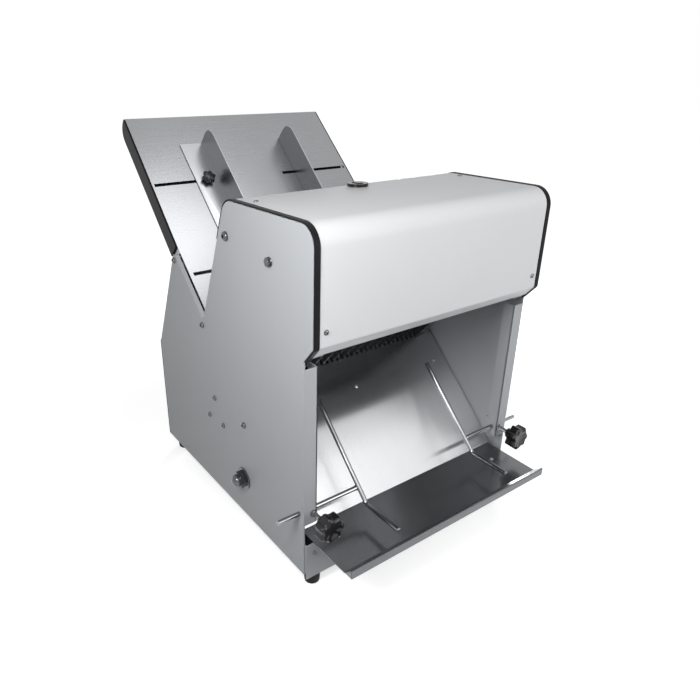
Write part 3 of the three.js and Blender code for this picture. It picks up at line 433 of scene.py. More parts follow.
# %% The corners of the upper edge line
LIP_TOP = (0.0, 0.391)
NOSE_LOW = (-NOSE, 0.417)
NOSE_TOP = (-NOSE, 0.586)
REAR_TOP = (0.215, 0.575)
LIP_RADIUS = 0.004
NOSE_RADIUS = 0.028
REAR_RADIUS = 0.030
EAR_DROP = 0.006
NOTCH_Y = 0.316
COVER_END_Y = 0.245


def under_table(y):
    """A point of the panel's edge that runs along under the table."""
    return (y, BLADE_FOOT[1] + (y - BLADE_FOOT[0]) * table_lean - EAR_DROP)


NOTCH = under_table(NOTCH_Y)
slant = (NOTCH[1] - REAR_TOP[1]) / (NOTCH[0] - REAR_TOP[0])
cover_end = (COVER_END_Y, REAR_TOP[1] + slant * (COVER_END_Y - REAR_TOP[0]))
edge_line = [(*LIP_TOP, 0), (*NOSE_LOW, LIP_RADIUS), (*NOSE_TOP, NOSE_RADIUS),
             (*REAR_TOP, REAR_RADIUS), (*cover_end, 0)]


def beside(corners, distance):
    """The same line of corners moved to its left, with each bend radius kept concentric."""
    moved = []
    for index, (y, z, radius) in enumerate(corners):
        here = Vector((y, z))
        before = Vector(corners[max(index - 1, 0)][:2])
        after = Vector(corners[min(index + 1, len(corners) - 1)][:2])
        into = (here - before) if index else (after - here)
        away = (after - here) if index < len(corners) - 1 else into
        into.normalize()
        away.normalize()
        mitre = (into + away).normalized()
        reach = distance / mitre.dot(into)
        turn = into.x * away.y - into.y * away.x
        grown = radius + (distance if turn < 0 else -distance) if radius else 0
        moved.append((y - mitre.y * reach, z + mitre.x * reach, max(grown, 0)))
    return moved


print("upper edge corners:", len(edge_line))

# %% Fold the cover
TRIM_WIDTH = 0.0097
GAP = 0.0003
COVER_SKIN = 0.0015
COVER_UNDER = 0.0005
LIP_INSET = 0.011
cover_half = half_width - TRIM_WIDTH - GAP
lip_rise = (Vector(NOSE_LOW) - Vector(LIP_TOP)).normalized()
lid_line = [(*(Vector(LIP_TOP) + lip_rise * LIP_INSET), 0), *edge_line[1:]]
lid = fold_sheet(beside(lid_line, COVER_UNDER), -cover_half, cover_half, COVER_SKIN)
cover = finish("cover_sheet", lid, "chassis", cover_paint, ["top_cover"],
               soften=0.0005)
print("cover faces:", len(cover.data.polygons))

# %% [markdown]
# ## Edge mouldings
# A black rubber moulding is pressed over the panel's upper edge, and stands
# a little proud of the cover. It follows the same line as the cover, so it is
# folded the same way. Its shoulders are rounded by a wider bevel.

# %% Fold the mouldings
TRIM_PROUD = 0.003
TRIM_ROUND = 0.0013
for side, sign in SIDES:
    edges = sorted((sign * half_width, sign * (half_width - TRIM_WIDTH)))
    moulding = fold_sheet(beside(edge_line, GAP), *edges, TRIM_PROUD - GAP)
    finish(f"edge_moulding_{side}", moulding, "chassis", black_trim, [f"edge_trim_{side}"],
           soften=TRIM_ROUND, segments=4)
print("mouldings stand proud by", TRIM_PROUD, "m")

# %% [markdown]
# ## Side panels
# The panel is a plate cut to its outline. Its corners are rounded by
# bevelling the outline's vertices, and the plate is drawn out to its
# thickness. This saves working out the points of each arc. The folded flanges
# are bent sheets laid inside its edge.

# %% Cut a plate to an outline
def cut_plate(corners, x_low, x_high, steps=8):
    """A flat plate in the plane of depth and height, with rounded corners."""
    bm = bmesh.new()
    ring = [bm.verts.new((x_low, y, z)) for y, z, _ in corners]
    bm.faces.new(ring)
    for index, (y, z, radius) in enumerate(corners):
        if not radius:
            continue
        here = Vector((y, z))
        before = Vector(corners[index - 1][:2])
        after = Vector(corners[(index + 1) % len(corners)][:2])
        turn = (here - before).angle(after - here)
        corner = [v for v in bm.verts if (v.co.yz - here).length < SAME_POINT]
        bmesh.ops.bevel(bm, geom=corner, offset=radius * tan(turn / 2), offset_type="OFFSET",
                        affect="VERTICES", segments=steps, profile=0.5, material=-1)
    drawn = bmesh.ops.extrude_face_region(bm, geom=bm.faces[:])
    bmesh.ops.translate(bm, vec=(x_high - x_low, 0, 0), verts=only(VERT, drawn["geom"]))
    return bm


def block(x0, x1, y0, y1, z0, z1):
    """A straight block by its limits."""
    bm = bmesh.new()
    bmesh.ops.create_cube(bm, size=1)
    bmesh.ops.scale(bm, vec=(x1 - x0, y1 - y0, z1 - z0), verts=bm.verts)
    middle = ((x0 + x1) / 2, (y0 + y1) / 2, (z0 + z1) / 2)
    bmesh.ops.translate(bm, vec=middle, verts=bm.verts)
    return bm


def join(target, other):
    """Add one bmesh to another."""
    mesh = to_mesh("loose part", other)
    target.from_mesh(mesh)
    bpy.data.meshes.remove(mesh)
    return target


# %% Cut and fold the panels
PANEL_SHEET = 0.0025
REAR_DEPTH, SHOULDER = 0.526, 0.226
EAR_TIP_Y = 0.422
EAR_TIP = under_table(EAR_TIP_Y)
NOTCH_RADIUS, EAR_RADIUS = 0.006, 0.008
EDGE_FLANGE, EAR_FLANGE = 0.032, 0.008
FLANGE_START = 0.0012
FLANGE_GAP = 0.0002
FLANGE_SHEET = PANEL_SHEET - FLANGE_GAP
CHANNEL_LOW, CHANNEL_TOP = 0.099, 0.376
CHANNEL_WIDTH, CHANNEL_DEPTH = 0.025, 0.024
EAR_STOP_SHARE = 0.047

ear_line = [(*cover_end, 0), (*NOTCH, NOTCH_RADIUS), (*EAR_TIP, EAR_RADIUS),
            (REAR_DEPTH, SHOULDER, 0)]
panel_outline = [(0, 0, 0), *edge_line[:-1], *ear_line[1:], (REAR_DEPTH, 0, 0)]
ear_stop = Vector(EAR_TIP).lerp(Vector((REAR_DEPTH, SHOULDER)), EAR_STOP_SHARE)
ear = [*ear_line[:-1], (*ear_stop, 0)]


def across(sign, near, far):
    """The limits in X of a strip that lies between two depths inside a panel."""
    return sorted((sign * (half_width - near), sign * (half_width - far)))


for side, sign in SIDES:
    panel = cut_plate(panel_outline, *across(sign, 0, PANEL_SHEET))
    for line, width in ((edge_line, EDGE_FLANGE), (ear, EAR_FLANGE)):
        join(panel, fold_sheet(beside(line, -FLANGE_GAP), *across(sign, FLANGE_START, width),
                               -FLANGE_SHEET))
    join(panel, block(*across(sign, FLANGE_START, CHANNEL_WIDTH), FLANGE_GAP, PANEL_SHEET,
                      CHANNEL_LOW, CHANNEL_TOP))
    join(panel, block(*across(sign, CHANNEL_WIDTH, CHANNEL_WIDTH - PANEL_SHEET), FLANGE_GAP,
                      FLANGE_GAP + CHANNEL_DEPTH, CHANNEL_LOW, CHANNEL_TOP))
    panel = finish(f"panel_{side}", panel, "chassis", panel_paint, [f"side_panel_{side}"],
                   soften=0.0006)
    print(panel.name, "faces:", len(panel.data.polygons))

# %% [markdown]
# ## The infeed table
# The table is a satin steel sheet with slots for the guides, and its sides
# are folded down. Its black side mouldings end at the panels' ears. The
# solids have all of that already, so they are only dressed.

# %% Dress the table
dress("infeed_table", satin_steel, soften=0.0006)
for side, _ in SIDES:
    dress(f"table_trim_{side}", black_trim, soften=TRIM_ROUND, segments=4)
print("table pieces: 3")

# %% [markdown]
# Under each upper slot a channel is spot welded. It keeps crumbs and
# fingers away from the bolt heads. Its black finish is painted shade: it makes
# the slot look black from above, as the shade under the table does. A dark
# material in the slot would leave no depth, so the channel is folded.

# %% Fold the channels under the slots
RAIL_U, RAIL_HALF = 0.419, 0.011
RAIL_TOP, RAIL_FLOOR = -0.0023, -0.0088
RAIL_SHEET, RAIL_BEND = 0.001, 0.0015
RAIL_ENDS = (0.052, 0.2222)
upper_wall, lower_wall = RAIL_U + RAIL_HALF, RAIL_U - RAIL_HALF
walls = [(upper_wall, RAIL_TOP, 0), (upper_wall, RAIL_FLOOR, RAIL_BEND),
         (lower_wall, RAIL_FLOOR, RAIL_BEND), (lower_wall, RAIL_TOP, 0)]
for side, sign in SIDES:
    rail = fold_sheet(walls, *sorted(sign * x for x in RAIL_ENDS), RAIL_SHEET, steps=4)
    # The black moulding finish on the channel is painted shade for the inside of the slot.
    finish(f"slot_channel_{side}", rail, "chassis", black_trim, place=slope_frame)
print("slot channels:", len(SIDES))

# %% [markdown]
# ## The outfeed tray
# The tray is one sheet: flat, then raised at forty-five degrees into a lip,
# then turned down. Folding it in one go keeps its bends alike, as a press
# does. Small plates close the ends of the lip.

# %% Fold the tray
TRAY_TOP, TRAY_SHEET, TRAY_BEND = 0.0685, 0.0015, 0.003
TRAY_BACK, LIP_FOOT, LIP_FRONT, LIP_HEIGHT = 0.025, -0.091, -0.109, 0.0855
LIP_END = [(-0.0925, TRAY_TOP, 0), (-0.1085, 0.0836, 0), (-0.1085, TRAY_TOP, 0)]
tray_line = [(TRAY_BACK, TRAY_TOP, 0), (LIP_FOOT, TRAY_TOP, TRAY_BEND),
             (LIP_FRONT, LIP_HEIGHT, TRAY_BEND), (LIP_FRONT, TRAY_TOP, 0)]
tray_low, tray_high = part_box("outfeed_tray")
tray = fold_sheet(tray_line, tray_low.x, tray_high.x, TRAY_SHEET, steps=5)
for end_low in (tray_low.x, tray_high.x - TRAY_SHEET):
    join(tray, cut_plate(LIP_END, end_low, end_low + TRAY_SHEET))
finish("tray_sheet", tray, "chassis", tray_coat, ["outfeed_tray"], soften=0.0003)
print("tray width:", round(tray_high.x - tray_low.x, 4))

# %% [markdown]
# ## Turned pieces
# Rods, heads and feet are lathe work: a profile of a few points is spun round
# an axis. One helper serves them all, with the axis given as a direction.

# %% Spin a profile
SPIN_STEPS = 32


def standing(centre, direction):
    """The move that stands a shape made along Z at a centre, along a direction."""
    turn = Vector((0, 0, 1)).rotation_difference(Vector(direction)).to_matrix().to_4x4()
    return Matrix.Translation(centre) @ turn


def turned(profile, centre, direction, steps=SPIN_STEPS):
    """Spin a profile of (distance along the axis, radius) round an axis."""
    bm = bmesh.new()
    row = [bm.verts.new((radius, 0, along)) for along, radius in profile]
    edges = [bm.edges.new(pair) for pair in zip(row, row[1:])]
    bmesh.ops.spin(bm, geom=row + edges, cent=(0, 0, 0), axis=(0, 0, 1), dvec=(0, 0, 0),
                   angle=2 * pi, steps=steps, use_merge=True)
    bmesh.ops.remove_doubles(bm, verts=bm.verts, dist=SAME_POINT)
    bmesh.ops.transform(bm, matrix=standing(centre, direction), verts=bm.verts)
    return bm


def hexagon(radius, height, centre, direction):
    """A nut: a six-sided prism."""
    bm = bmesh.new()
    bmesh.ops.create_cone(bm, cap_ends=True, segments=6, radius1=radius, radius2=radius,
                          depth=height)
    bmesh.ops.translate(bm, vec=(0, 0, height / 2), verts=bm.verts)
    bmesh.ops.transform(bm, matrix=standing(centre, direction), verts=bm.verts)
    return bm


def rod_profile(radius, length, chamfer=0.0005):
    """A plain rod with chamfered ends."""
    return [(0, 0), (0, radius - chamfer), (chamfer, radius), (length - chamfer, radius),
            (length, radius - chamfer), (length, 0)]


print("spin steps:", SPIN_STEPS)

# %% [markdown]
# ## Fasteners on the panels
# Domed socket heads hold the table, the plate and the cross bar. A dome is a
# quarter round profile, and its socket a small hollow in the middle. Spun
# together they need no cutting, as a sphere would.

# %% Heads and nuts on the casing
HEAD_RADIUS, HEAD_HEIGHT = 0.0055, 0.0042
SHANK_RADIUS, SHANK_IN_HEAD = 0.003, 0.3
SOCKET_SHARE = 0.42
BOLT_NUT = (0.0052, 0.004)
SPACER, SPACER_X = (0.0042, 0.0064), 0.2308
TABLE_BOLT_N = -0.0154


def dome(radius, height):
    """The profile of a domed head with a socket in its crown."""
    collar, socket = 0.25, radius * SOCKET_SHARE
    rise = []
    for step in range(6):
        angle = step * pi / 12
        rise.append((height * (collar + (1 - collar) * sin(angle)), radius * cos(angle * 0.9)))
    crown = [point for point in rise if point[1] > socket]
    return [(0, 0), (0, radius), *crown, (height, socket), (height * 0.45, socket),
            (height * 0.4, 0)]


def acorn(radius, height):
    """The profile of a cap nut: a short collar and a full dome."""
    collar = 0.3
    angles = [step * pi / 16 for step in range(8)]
    rise = [(height * (collar + (1 - collar) * sin(a)), radius * cos(a)) for a in angles]
    return [(0, 0), (0, radius), *rise, (height, 0)]


def on_slope(u, n):
    """A point of the slope as depth and height."""
    return (BLADE_FOOT[0] + u * cos(SLOPE_ANGLE) - n * sin(SLOPE_ANGLE),
            BLADE_FOOT[1] + u * sin(SLOPE_ANGLE) + n * cos(SLOPE_ANGLE))


bolt_places = {
    "table_bolt_lower": on_slope(0.1285, TABLE_BOLT_N),
    "table_bolt_upper": on_slope(0.265, TABLE_BOLT_N),
    "plate_bolt": on_slope(-0.0668, -0.0234),
}
panel_face = half_width + GAP
for side, sign in SIDES:
    outward = (sign, 0, 0)
    for bolt, place in bolt_places.items():
        low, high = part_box(f"{bolt}_{side}")
        inner = min(abs(low.x), abs(high.x))
        seat = (sign * inner, *place)
        shank = panel_face + HEAD_HEIGHT * SHANK_IN_HEAD - inner
        whole = turned(dome(HEAD_RADIUS, HEAD_HEIGHT), (sign * panel_face, *place), outward)
        join(whole, turned(rod_profile(SHANK_RADIUS, shank), seat, outward, steps=16))
        join(whole, hexagon(*BOLT_NUT, seat, outward))
        if bolt != "plate_bolt":
            join(whole, turned(rod_profile(*SPACER), (sign * SPACER_X, *place), outward,
                               steps=20))
        finish(f"{bolt}_{side}_turned", whole, "chassis", bolt_steel_painted_shade, [f"{bolt}_{side}"])
print("bolts:", 2 * len(bolt_places))

# %% [markdown]
# Three rods run through the casing. The tie rod has washers and nuts, the
# cross bar has domed screws, and the motor's cradle hangs on the lowest one,
# which ends in a wide collar with a nut and a cap. Sleeves between the panels
# keep them apart. A rod and its nuts never part, so they are one piece.

# %% Rods that tie the panels together
TIE, TIE_RADIUS, TIE_PAST, TIE_SLEEVE = (0.085, 0.5125), 0.0045, 0.0062, 0.0075
CROSS, CROSS_RADIUS, CROSS_PAST, CROSS_SLEEVE = (0.214, 0.519), 0.006, 0.003, 0.009
HINGE, HINGE_RADIUS, HINGE_PAST = (0.189, 0.081), 0.008, 0.012
SLEEVE_SHORT = 0.0028
WASHER_RADIUS, WASHER_SHEET, TIE_NUT = 0.0075, 0.0015, (0.007, 0.0042)
CROSS_HEAD = (0.0078, 0.0055)
COLLAR_RADIUS, COLLAR_SHEET, COLLAR_CHAMFER = 0.0205, 0.0025, 0.0006
HINGE_NUT, HINGE_CAP = (0.0155, 0.010), (0.0113, 0.0118)


def through(radius, past, place):
    """A rod across the casing, by how far it stands past both panels' outer faces."""
    reach = half_width + past
    return turned(rod_profile(radius, 2 * reach), (-reach, *place), (1, 0, 0))


tie = through(TIE_RADIUS, TIE_PAST, TIE)
join(tie, through(TIE_SLEEVE, -SLEEVE_SHORT, TIE))
crossbar = through(CROSS_RADIUS, CROSS_PAST, CROSS)
join(crossbar, through(CROSS_SLEEVE, -SLEEVE_SHORT, CROSS))
hinge = through(HINGE_RADIUS, HINGE_PAST, HINGE)
for sign in (-1, 1):
    outward = (sign, 0, 0)
    nut_seat = panel_face + WASHER_SHEET
    cap_seat = panel_face + COLLAR_SHEET + HINGE_NUT[1]
    collar = rod_profile(COLLAR_RADIUS, COLLAR_SHEET, COLLAR_CHAMFER)
    join(tie, turned(rod_profile(WASHER_RADIUS, WASHER_SHEET), (sign * panel_face, *TIE), outward))
    join(tie, hexagon(*TIE_NUT, (sign * nut_seat, *TIE), outward))
    join(crossbar, turned(dome(*CROSS_HEAD), (sign * panel_face, *CROSS), outward))
    join(hinge, turned(collar, (sign * panel_face, *HINGE), outward, steps=48))
    join(hinge, hexagon(*HINGE_NUT, (sign * (panel_face + COLLAR_SHEET), *HINGE), outward))
    join(hinge, turned(acorn(*HINGE_CAP), (sign * cap_seat, *HINGE), outward, steps=40))
finish("tie_rod_turned", tie, "chassis", bolt_steel_painted_shade, ["upper_tie_rod"])
finish("cross_bar_turned", crossbar, "chassis", bolt_steel_painted_shade, ["rear_cross_bar"])
finish("hinge_rod_turned", hinge, "chassis", bolt_steel_painted_shade, ["motor_hinge_rod"])
print("rods through the casing: 3")

# %% [markdown]
# ## Guide rods on the outfeed side
# A chromed rod is bent once and welded to a cross rod. A curve with a round
# bevel would do, but it would have to be made a mesh. Here a round section is
# extruded down the long leg, spun round the bend, and extruded again, and a
# cap is left at both ends.

# %% Bend a rod
ROD_RADIUS, ROD_SIDES = 0.004, 20
FINGER_TOP, FINGER_BEND, FINGER_END = (0.129, 0.231), (-0.012, 0.099), (-0.093, 0.099)
BEND_RADIUS, BEND_STEPS = 0.014, 8


def push(bm, faces, shift):
    """Extrude faces by a shift, and give back the faces at the new end."""
    drawn = bmesh.ops.extrude_face_region(bm, geom=faces)
    bmesh.ops.translate(bm, vec=shift, verts=only(VERT, drawn["geom"]))
    bmesh.ops.delete(bm, geom=faces, context="FACES_ONLY")
    return only(FACE, drawn["geom"])


def bent_rod(x):
    """The finger: a long slanted leg, a bend and a short level leg."""
    top, corner, end = (Vector((x, *point)) for point in (FINGER_TOP, FINGER_BEND, FINGER_END))
    down = (corner - top).normalized()
    level = (end - corner).normalized()
    turn = down.angle(level)
    reach = BEND_RADIUS * tan(turn / 2)
    bm = bmesh.new()
    bmesh.ops.create_circle(bm, cap_ends=True, segments=ROD_SIDES, radius=ROD_RADIUS)
    bmesh.ops.transform(bm, matrix=standing(top, down), verts=bm.verts)
    start_cap = bmesh.ops.duplicate(bm, geom=bm.faces[:])
    head = push(bm, only(FACE, start_cap["geom"]), down * ((corner - top).length - reach))
    side = (level - down * level.dot(down)).normalized()
    hub = corner - down * reach + side * BEND_RADIUS
    axis = down.cross(level).normalized()
    spun = bmesh.ops.spin(bm, geom=head, cent=hub, axis=axis, dvec=(0, 0, 0), angle=turn,
                          steps=BEND_STEPS)
    last = only(FACE, spun["geom_last"])
    bmesh.ops.delete(bm, geom=head, context="FACES_ONLY")
    push(bm, last, level * ((end - corner).length - reach))
    bmesh.ops.remove_doubles(bm, verts=bm.verts, dist=SAME_POINT)
    return bm


# %% Bend and weld the guide rods
CROSS_ROD = (0.012, 0.118)
WELD = [(0, 0), (0.0012, 0.0052), (0.003, 0.0048), (0.004, 0)]
WELD_SHIFT = 0.0055
for side, sign, junction in (("left", -1, -0.122), ("right", 1, 0.137)):
    low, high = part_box(f"outfeed_guide_{side}")
    tip = low.x if sign < 0 else high.x
    inward = (-sign, 0, 0)
    cross_rod = rod_profile(ROD_RADIUS, abs(tip - junction))
    guide = bent_rod(junction)
    join(guide, turned(cross_rod, (tip, *CROSS_ROD), inward, steps=ROD_SIDES))
    join(guide, turned(WELD, (junction + sign * WELD_SHIFT, *CROSS_ROD), inward,
                       steps=ROD_SIDES))
    finish(f"guide_rod_{side}", guide, f"slice_guide_{side}", chrome,
           [f"outfeed_guide_{side}"])
    print("cross rod", side, "length:", round(abs(tip - junction), 4))

# %% [markdown]
# ## Knobs
# A moulded clamp knob has seven lobes with rounded flanks and a dished face,
# and the small star knobs have six. The outline starts as a circle, and its
# vertices are drawn in between the lobes. The body is built up ring by ring:
# the face is pushed out and scaled a little each time, which keeps the lobes'
# form where an inset would pinch them.

# %% Mould a knob
VALLEY_SHARPNESS = 0.85


def lobed_knob(radius, depth, thickness, lobes, crown, steps):
    """A lobed knob head on the axis Z, from 0 up to its thickness.

    The crown gives the rings of the face, from the rim inwards: the share of
    the outline that a ring keeps, and the share of the thickness it climbs.
    """
    bm = bmesh.new()
    bmesh.ops.create_circle(bm, cap_ends=True, segments=steps, radius=radius)
    for v in bm.verts:
        wave = (1 - cos(lobes * atan2(v.co.y, v.co.x))) / 2
        v.co *= 1 - depth / radius * wave ** VALLEY_SHARPNESS
    top = bmesh.ops.duplicate(bm, geom=bm.faces[:])["geom"][-1:]
    for share, lift in crown:
        top = push(bm, top, (0, 0, thickness * lift))
        ring = list({v for face in top for v in face.verts})
        bmesh.ops.scale(bm, vec=(share, share, 1), verts=ring)
    bmesh.ops.remove_doubles(bm, verts=bm.verts, dist=SAME_POINT)
    return bm


# %% The clamp knobs on the front channels
STUD_X, STUD_Z = 0.222, 0.1195
KNOB_FACE, KNOB_BACK, HUB_BACK = -0.055, -0.035, -0.023
CLAMP_RADIUS, CLAMP_VALLEY, CLAMP_LOBES = 0.0238, 0.0045, 7
CLAMP_CROWN = ((1, 0.76), (0.96, 0.1), (0.93, 0.06), (0.92, 0.05),
               (0.97, 0.03), (0.93, 0), (0.8, -0.06), (0.5, -0.06))
CLAMP_HUB = [(0, 0), (0, 0.0125), (0.007, 0.0105), (0.0115, 0.0095), (0.012, 0.009), (0.012, 0)]
STUD = (0.004, 0.0307)
STUD_NUT, STUD_NUT_Y = (0.0062, 0.003), -0.0033
towards_rear = (0, 1, 0)
for side, sign in SIDES:
    x = sign * STUD_X
    knob = lobed_knob(CLAMP_RADIUS, CLAMP_VALLEY, KNOB_BACK - KNOB_FACE, CLAMP_LOBES,
                      CLAMP_CROWN, steps=98)
    knob_seat = (x, KNOB_BACK, STUD_Z)
    toward = Matrix.Translation(knob_seat) @ Matrix.Rotation(radians(90), 4, "X")
    bmesh.ops.transform(knob, matrix=toward, verts=knob.verts)
    join(knob, turned(CLAMP_HUB, knob_seat, towards_rear))
    finish(f"clamp_knob_{side}_moulded", knob, f"clamp_{side}", knob_plastic,
           [f"clamp_knob_{side}"], soften=0.0006)
    stud = turned(rod_profile(*STUD), (x, HUB_BACK, STUD_Z), towards_rear, steps=20)
    join(stud, hexagon(*STUD_NUT, (x, STUD_NUT_Y, STUD_Z), towards_rear))
    finish(f"clamp_stud_{side}", stud, f"clamp_{side}", chrome)
print("clamp knob lobes:", CLAMP_LOBES)

# %% [markdown]
# ## The infeed guides
# Each guide is a steel angle. The wall's upper end is rounded, and the base
# carries two bolts with small star knobs. The solid's bolts reach through its
# knobs, and the knobs here are lower, so the tips of the bolts come down too.

# %% Dress the guides and mould their knobs
GUIDE_BOLT_X, BOLT_REACH = 0.114, 0.004
BOLT_TOP, BOLT_CUT = 0.019, 0.012
STAR_SEAT, STAR_LIFT = 0.0026, 0.005
STAR_RADIUS, STAR_VALLEY, STAR_THICKNESS, STAR_LOBES = 0.0135, 0.0035, 0.0085, 6
STAR_CROWN = ((1, 0.7), (0.95, 0.14), (0.9, 0.08), (0.8, 0.05), (0.6, 0.03))
STAR_HUB = [(0, 0), (0, 0.0085), (0.002, 0.0075), (0.0052, 0.0068), (0.0052, 0)]
to_slope = slope_frame.inverted()
lower_by = slope_frame.to_3x3() @ Vector((0, 0, BOLT_TOP - BOLT_CUT))
for side, sign in SIDES:
    guide = dress(f"infeed_guide_{side}", guide_steel)
    for v in guide.data.vertices:
        local = to_slope @ v.co
        if local.z > BOLT_TOP and abs(abs(local.x) - GUIDE_BOLT_X) < BOLT_REACH:
            v.co -= lower_by
    for end, u in (("lower", 0.222), ("upper", RAIL_U)):
        seat = (sign * GUIDE_BOLT_X, u, STAR_SEAT)
        star = lobed_knob(STAR_RADIUS, STAR_VALLEY, STAR_THICKNESS, STAR_LOBES, STAR_CROWN,
                          steps=84)
        bmesh.ops.translate(star, vec=Vector(seat) + Vector((0, 0, STAR_LIFT)), verts=star.verts)
        join(star, turned(STAR_HUB, seat, (0, 0, 1)))
        finish(f"star_knob_{end}_{side}", star, f"knob_{end}_{side}", knob_plastic,
               [f"infeed_knob_{end}_{side}"], place=slope_frame, soften=0.0004)
print("star knobs: 4")

# %% [markdown]
# ## Feet
# Rubber feet with a slight taper and a rounded foot. One spun profile gives
# both, where a bevelled cone would need its edges picked.

# %% Turn the feet
for end in ("front", "rear"):
    for side, _ in SIDES:
        low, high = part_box(f"foot_{end}_{side}")
        middle = (low + high) / 2
        height = high.z - low.z
        profile = [(0, 0), (0, 0.0115), (0.0015, 0.0128), (0.004, 0.0132),
                   (height - 0.002, 0.0144), (height, 0.0138), (height, 0)]
        foot = turned(profile, (middle.x, middle.y, low.z), (0, 0, 1), steps=40)
        finish(f"rubber_foot_{end}_{side}", foot, "chassis", black_rubber,
               [f"foot_{end}_{side}"], place=in_place)
print("foot height:", round(height, 4))

# %% [markdown]
# ## The switch
# A round black bezel sits on the cover's rear edge, with a rocker in its
# recess. Moulded plastic has soft edges, so both get a wide bevel.

# %% Dress the switch
dress("switch_bezel", knob_plastic, soften=0.0012, segments=4)
dress("switch_rocker", knob_plastic, soften=0.001, segments=4)
print("switch pieces: 2")

# %% [markdown]
# ## Blade frames
# Each frame stretches every second blade between two bars. A blade is a thin
# ribbon with small scallops along its cutting edge. It is made by cutting a
# strip into short lengths and drawing every second point of its edge back,
# which costs few faces for each of the thirty-three blades.

# %% One blade
PITCH, BLADES = 0.012, 33
BLADE_WIDTH, BLADE_SHEET = 0.010, 0.0008
TOOTH, SCALLOP = 0.006, 0.0013
LOW_BAR, HIGH_BAR = (-0.044, -0.030), (0.268, 0.284)
BLADE_HELD = 0.016


def blade_strip(x, u):
    """A ribbon blade at x whose cutting edge faces up the slope."""
    bm = bmesh.new()
    length = HIGH_BAR[0] - LOW_BAR[1] + BLADE_HELD
    lengths = 2 * round(length / TOOTH)
    bmesh.ops.create_grid(bm, x_segments=1, y_segments=1, size=0.5)
    bmesh.ops.scale(bm, vec=(BLADE_WIDTH, length, 1), verts=bm.verts)
    long_edges = [e for e in bm.edges if abs(e.verts[0].co.x - e.verts[1].co.x) < SAME_POINT]
    bmesh.ops.subdivide_edges(bm, edges=long_edges, cuts=lengths - 1, use_grid_fill=True)
    for v in bm.verts:
        place = round((v.co.y + length / 2) / (length / lengths))
        if v.co.x > 0 and place % 2:
            v.co.x -= SCALLOP
    drawn = bmesh.ops.extrude_face_region(bm, geom=bm.faces[:])
    bmesh.ops.translate(bm, vec=(0, 0, BLADE_SHEET), verts=only(VERT, drawn["geom"]))
    stand = Matrix(((0, 0, 1, x - BLADE_SHEET / 2), (1, 0, 0, u + BLADE_WIDTH / 2),
                    (0, 1, 0, (HIGH_BAR[0] + LOW_BAR[1]) / 2), (0, 0, 0, 1)))
    bmesh.ops.transform(bm, matrix=stand, verts=bm.verts)
    return bm


# %% Bars, posts and blades of both frames
POST = (0.200, 0.212)
BAR_CHAMFER = 0.0006
LUG_NEAR, LUG_FAR, LUG_FOOT, EYE_TOP = 0.010, 0.004, -0.081, -0.067
EYE_LOW, EYE_HIGH = -0.0136, 0.0004


def bar(*limits):
    """A straight bar by its limits, with chamfered edges."""
    bm = block(*limits)
    bmesh.ops.bevel(bm, geom=bm.edges[:], offset=BAR_CHAMFER, offset_type="OFFSET",
                    affect="EDGES", segments=2, profile=0.5, material=-1)
    return bm


for frame_name, foot_u, parity, throw_x in (("a", -0.006, 0, 0.160), ("b", 0.007, 1, 0.140)):
    head_u = foot_u + BLADE_WIDTH
    whole = bar(-POST[1], POST[1], foot_u, head_u, *LOW_BAR)
    join(whole, bar(-POST[1], POST[1], foot_u, head_u, *HIGH_BAR))
    for sign in (-1, 1):
        post = sorted(sign * x for x in POST)
        lug = sorted((sign * (throw_x - LUG_FAR), sign * (throw_x - LUG_NEAR)))
        join(whole, bar(*post, foot_u, head_u, LOW_BAR[0], HIGH_BAR[1]))
        join(whole, bar(*lug, foot_u, head_u, LUG_FOOT, LOW_BAR[1]))
        join(whole, bar(*lug, min(foot_u, EYE_LOW), max(head_u, EYE_HIGH), LUG_FOOT, EYE_TOP))
    for index in range(parity, BLADES, 2):
        join(whole, blade_strip((index - (BLADES - 1) / 2) * PITCH, foot_u))
    piece = finish(f"blade_frame_{frame_name}_sharpened", whole, f"frame_{frame_name}",
                   blade_steel, [f"blade_frame_{frame_name}"], place=slope_frame)
    print("blade frame", frame_name, "faces:", len(piece.data.polygons))

# %% [markdown]
# ## The drive
# Motor, pulleys and bearings are turned pieces. The motor's barrel has
# cooling ribs, which are one bar repeated round the axis, and the pulleys
# have a groove for the belt, which the spun profile gives at once.

# %% Turn the motor
MOTOR = (0.418, 0.095)
MOTOR_X, RIB_X = -0.060, -0.038
RIBS, RIB_LENGTH, RIB_HALF, RIB_RADII = 30, 0.166, 0.0011, (0.050, 0.0575)
MOTOR_PROFILE = [(0, 0), (0, 0.050), (0.004, 0.056), (0.022, 0.058), (0.022, 0.052),
                 (0.188, 0.052), (0.188, 0.058), (0.206, 0.056), (0.210, 0.050),
                 (0.210, 0.010), (0.256, 0.009), (0.256, 0)]
TERMINAL_BOX = (-0.035, 0.035, 0.390, 0.446, 0.135, 0.176)
MOTOR_FEET_X, MOTOR_FOOT_WIDTH = (-0.030, 0.090), 0.030
MOTOR_FOOT = (0.376, 0.460, 0.0343, 0.070)
along_x = (1, 0, 0)
motor = turned(MOTOR_PROFILE, (MOTOR_X, *MOTOR), along_x, steps=64)
for step in range(RIBS):
    rib = bar(0, RIB_LENGTH, -RIB_HALF, RIB_HALF, *RIB_RADII)
    turn = Matrix.Translation((RIB_X, *MOTOR)) @ Matrix.Rotation(2 * pi * step / RIBS, 4, "X")
    bmesh.ops.transform(rib, matrix=turn, verts=rib.verts)
    join(motor, rib)
join(motor, bar(*TERMINAL_BOX))
for x in MOTOR_FEET_X:
    join(motor, bar(x, x + MOTOR_FOOT_WIDTH, *MOTOR_FOOT))
finish("motor_ribbed", motor, "chassis", motor_paint, ["motor"], soften=0.0006)
print("motor ribs:", RIBS)

# %% Turn the pulleys
CRANK = on_slope(-0.0066, -0.1152)
PULLEY_X, PULLEY_WIDTH, PULLEY_FLANGE, PULLEY_EDGE = 0.178, 0.016, 0.0027, 0.001
PULLEY_BORE, GROOVE = 0.0095, 0.004


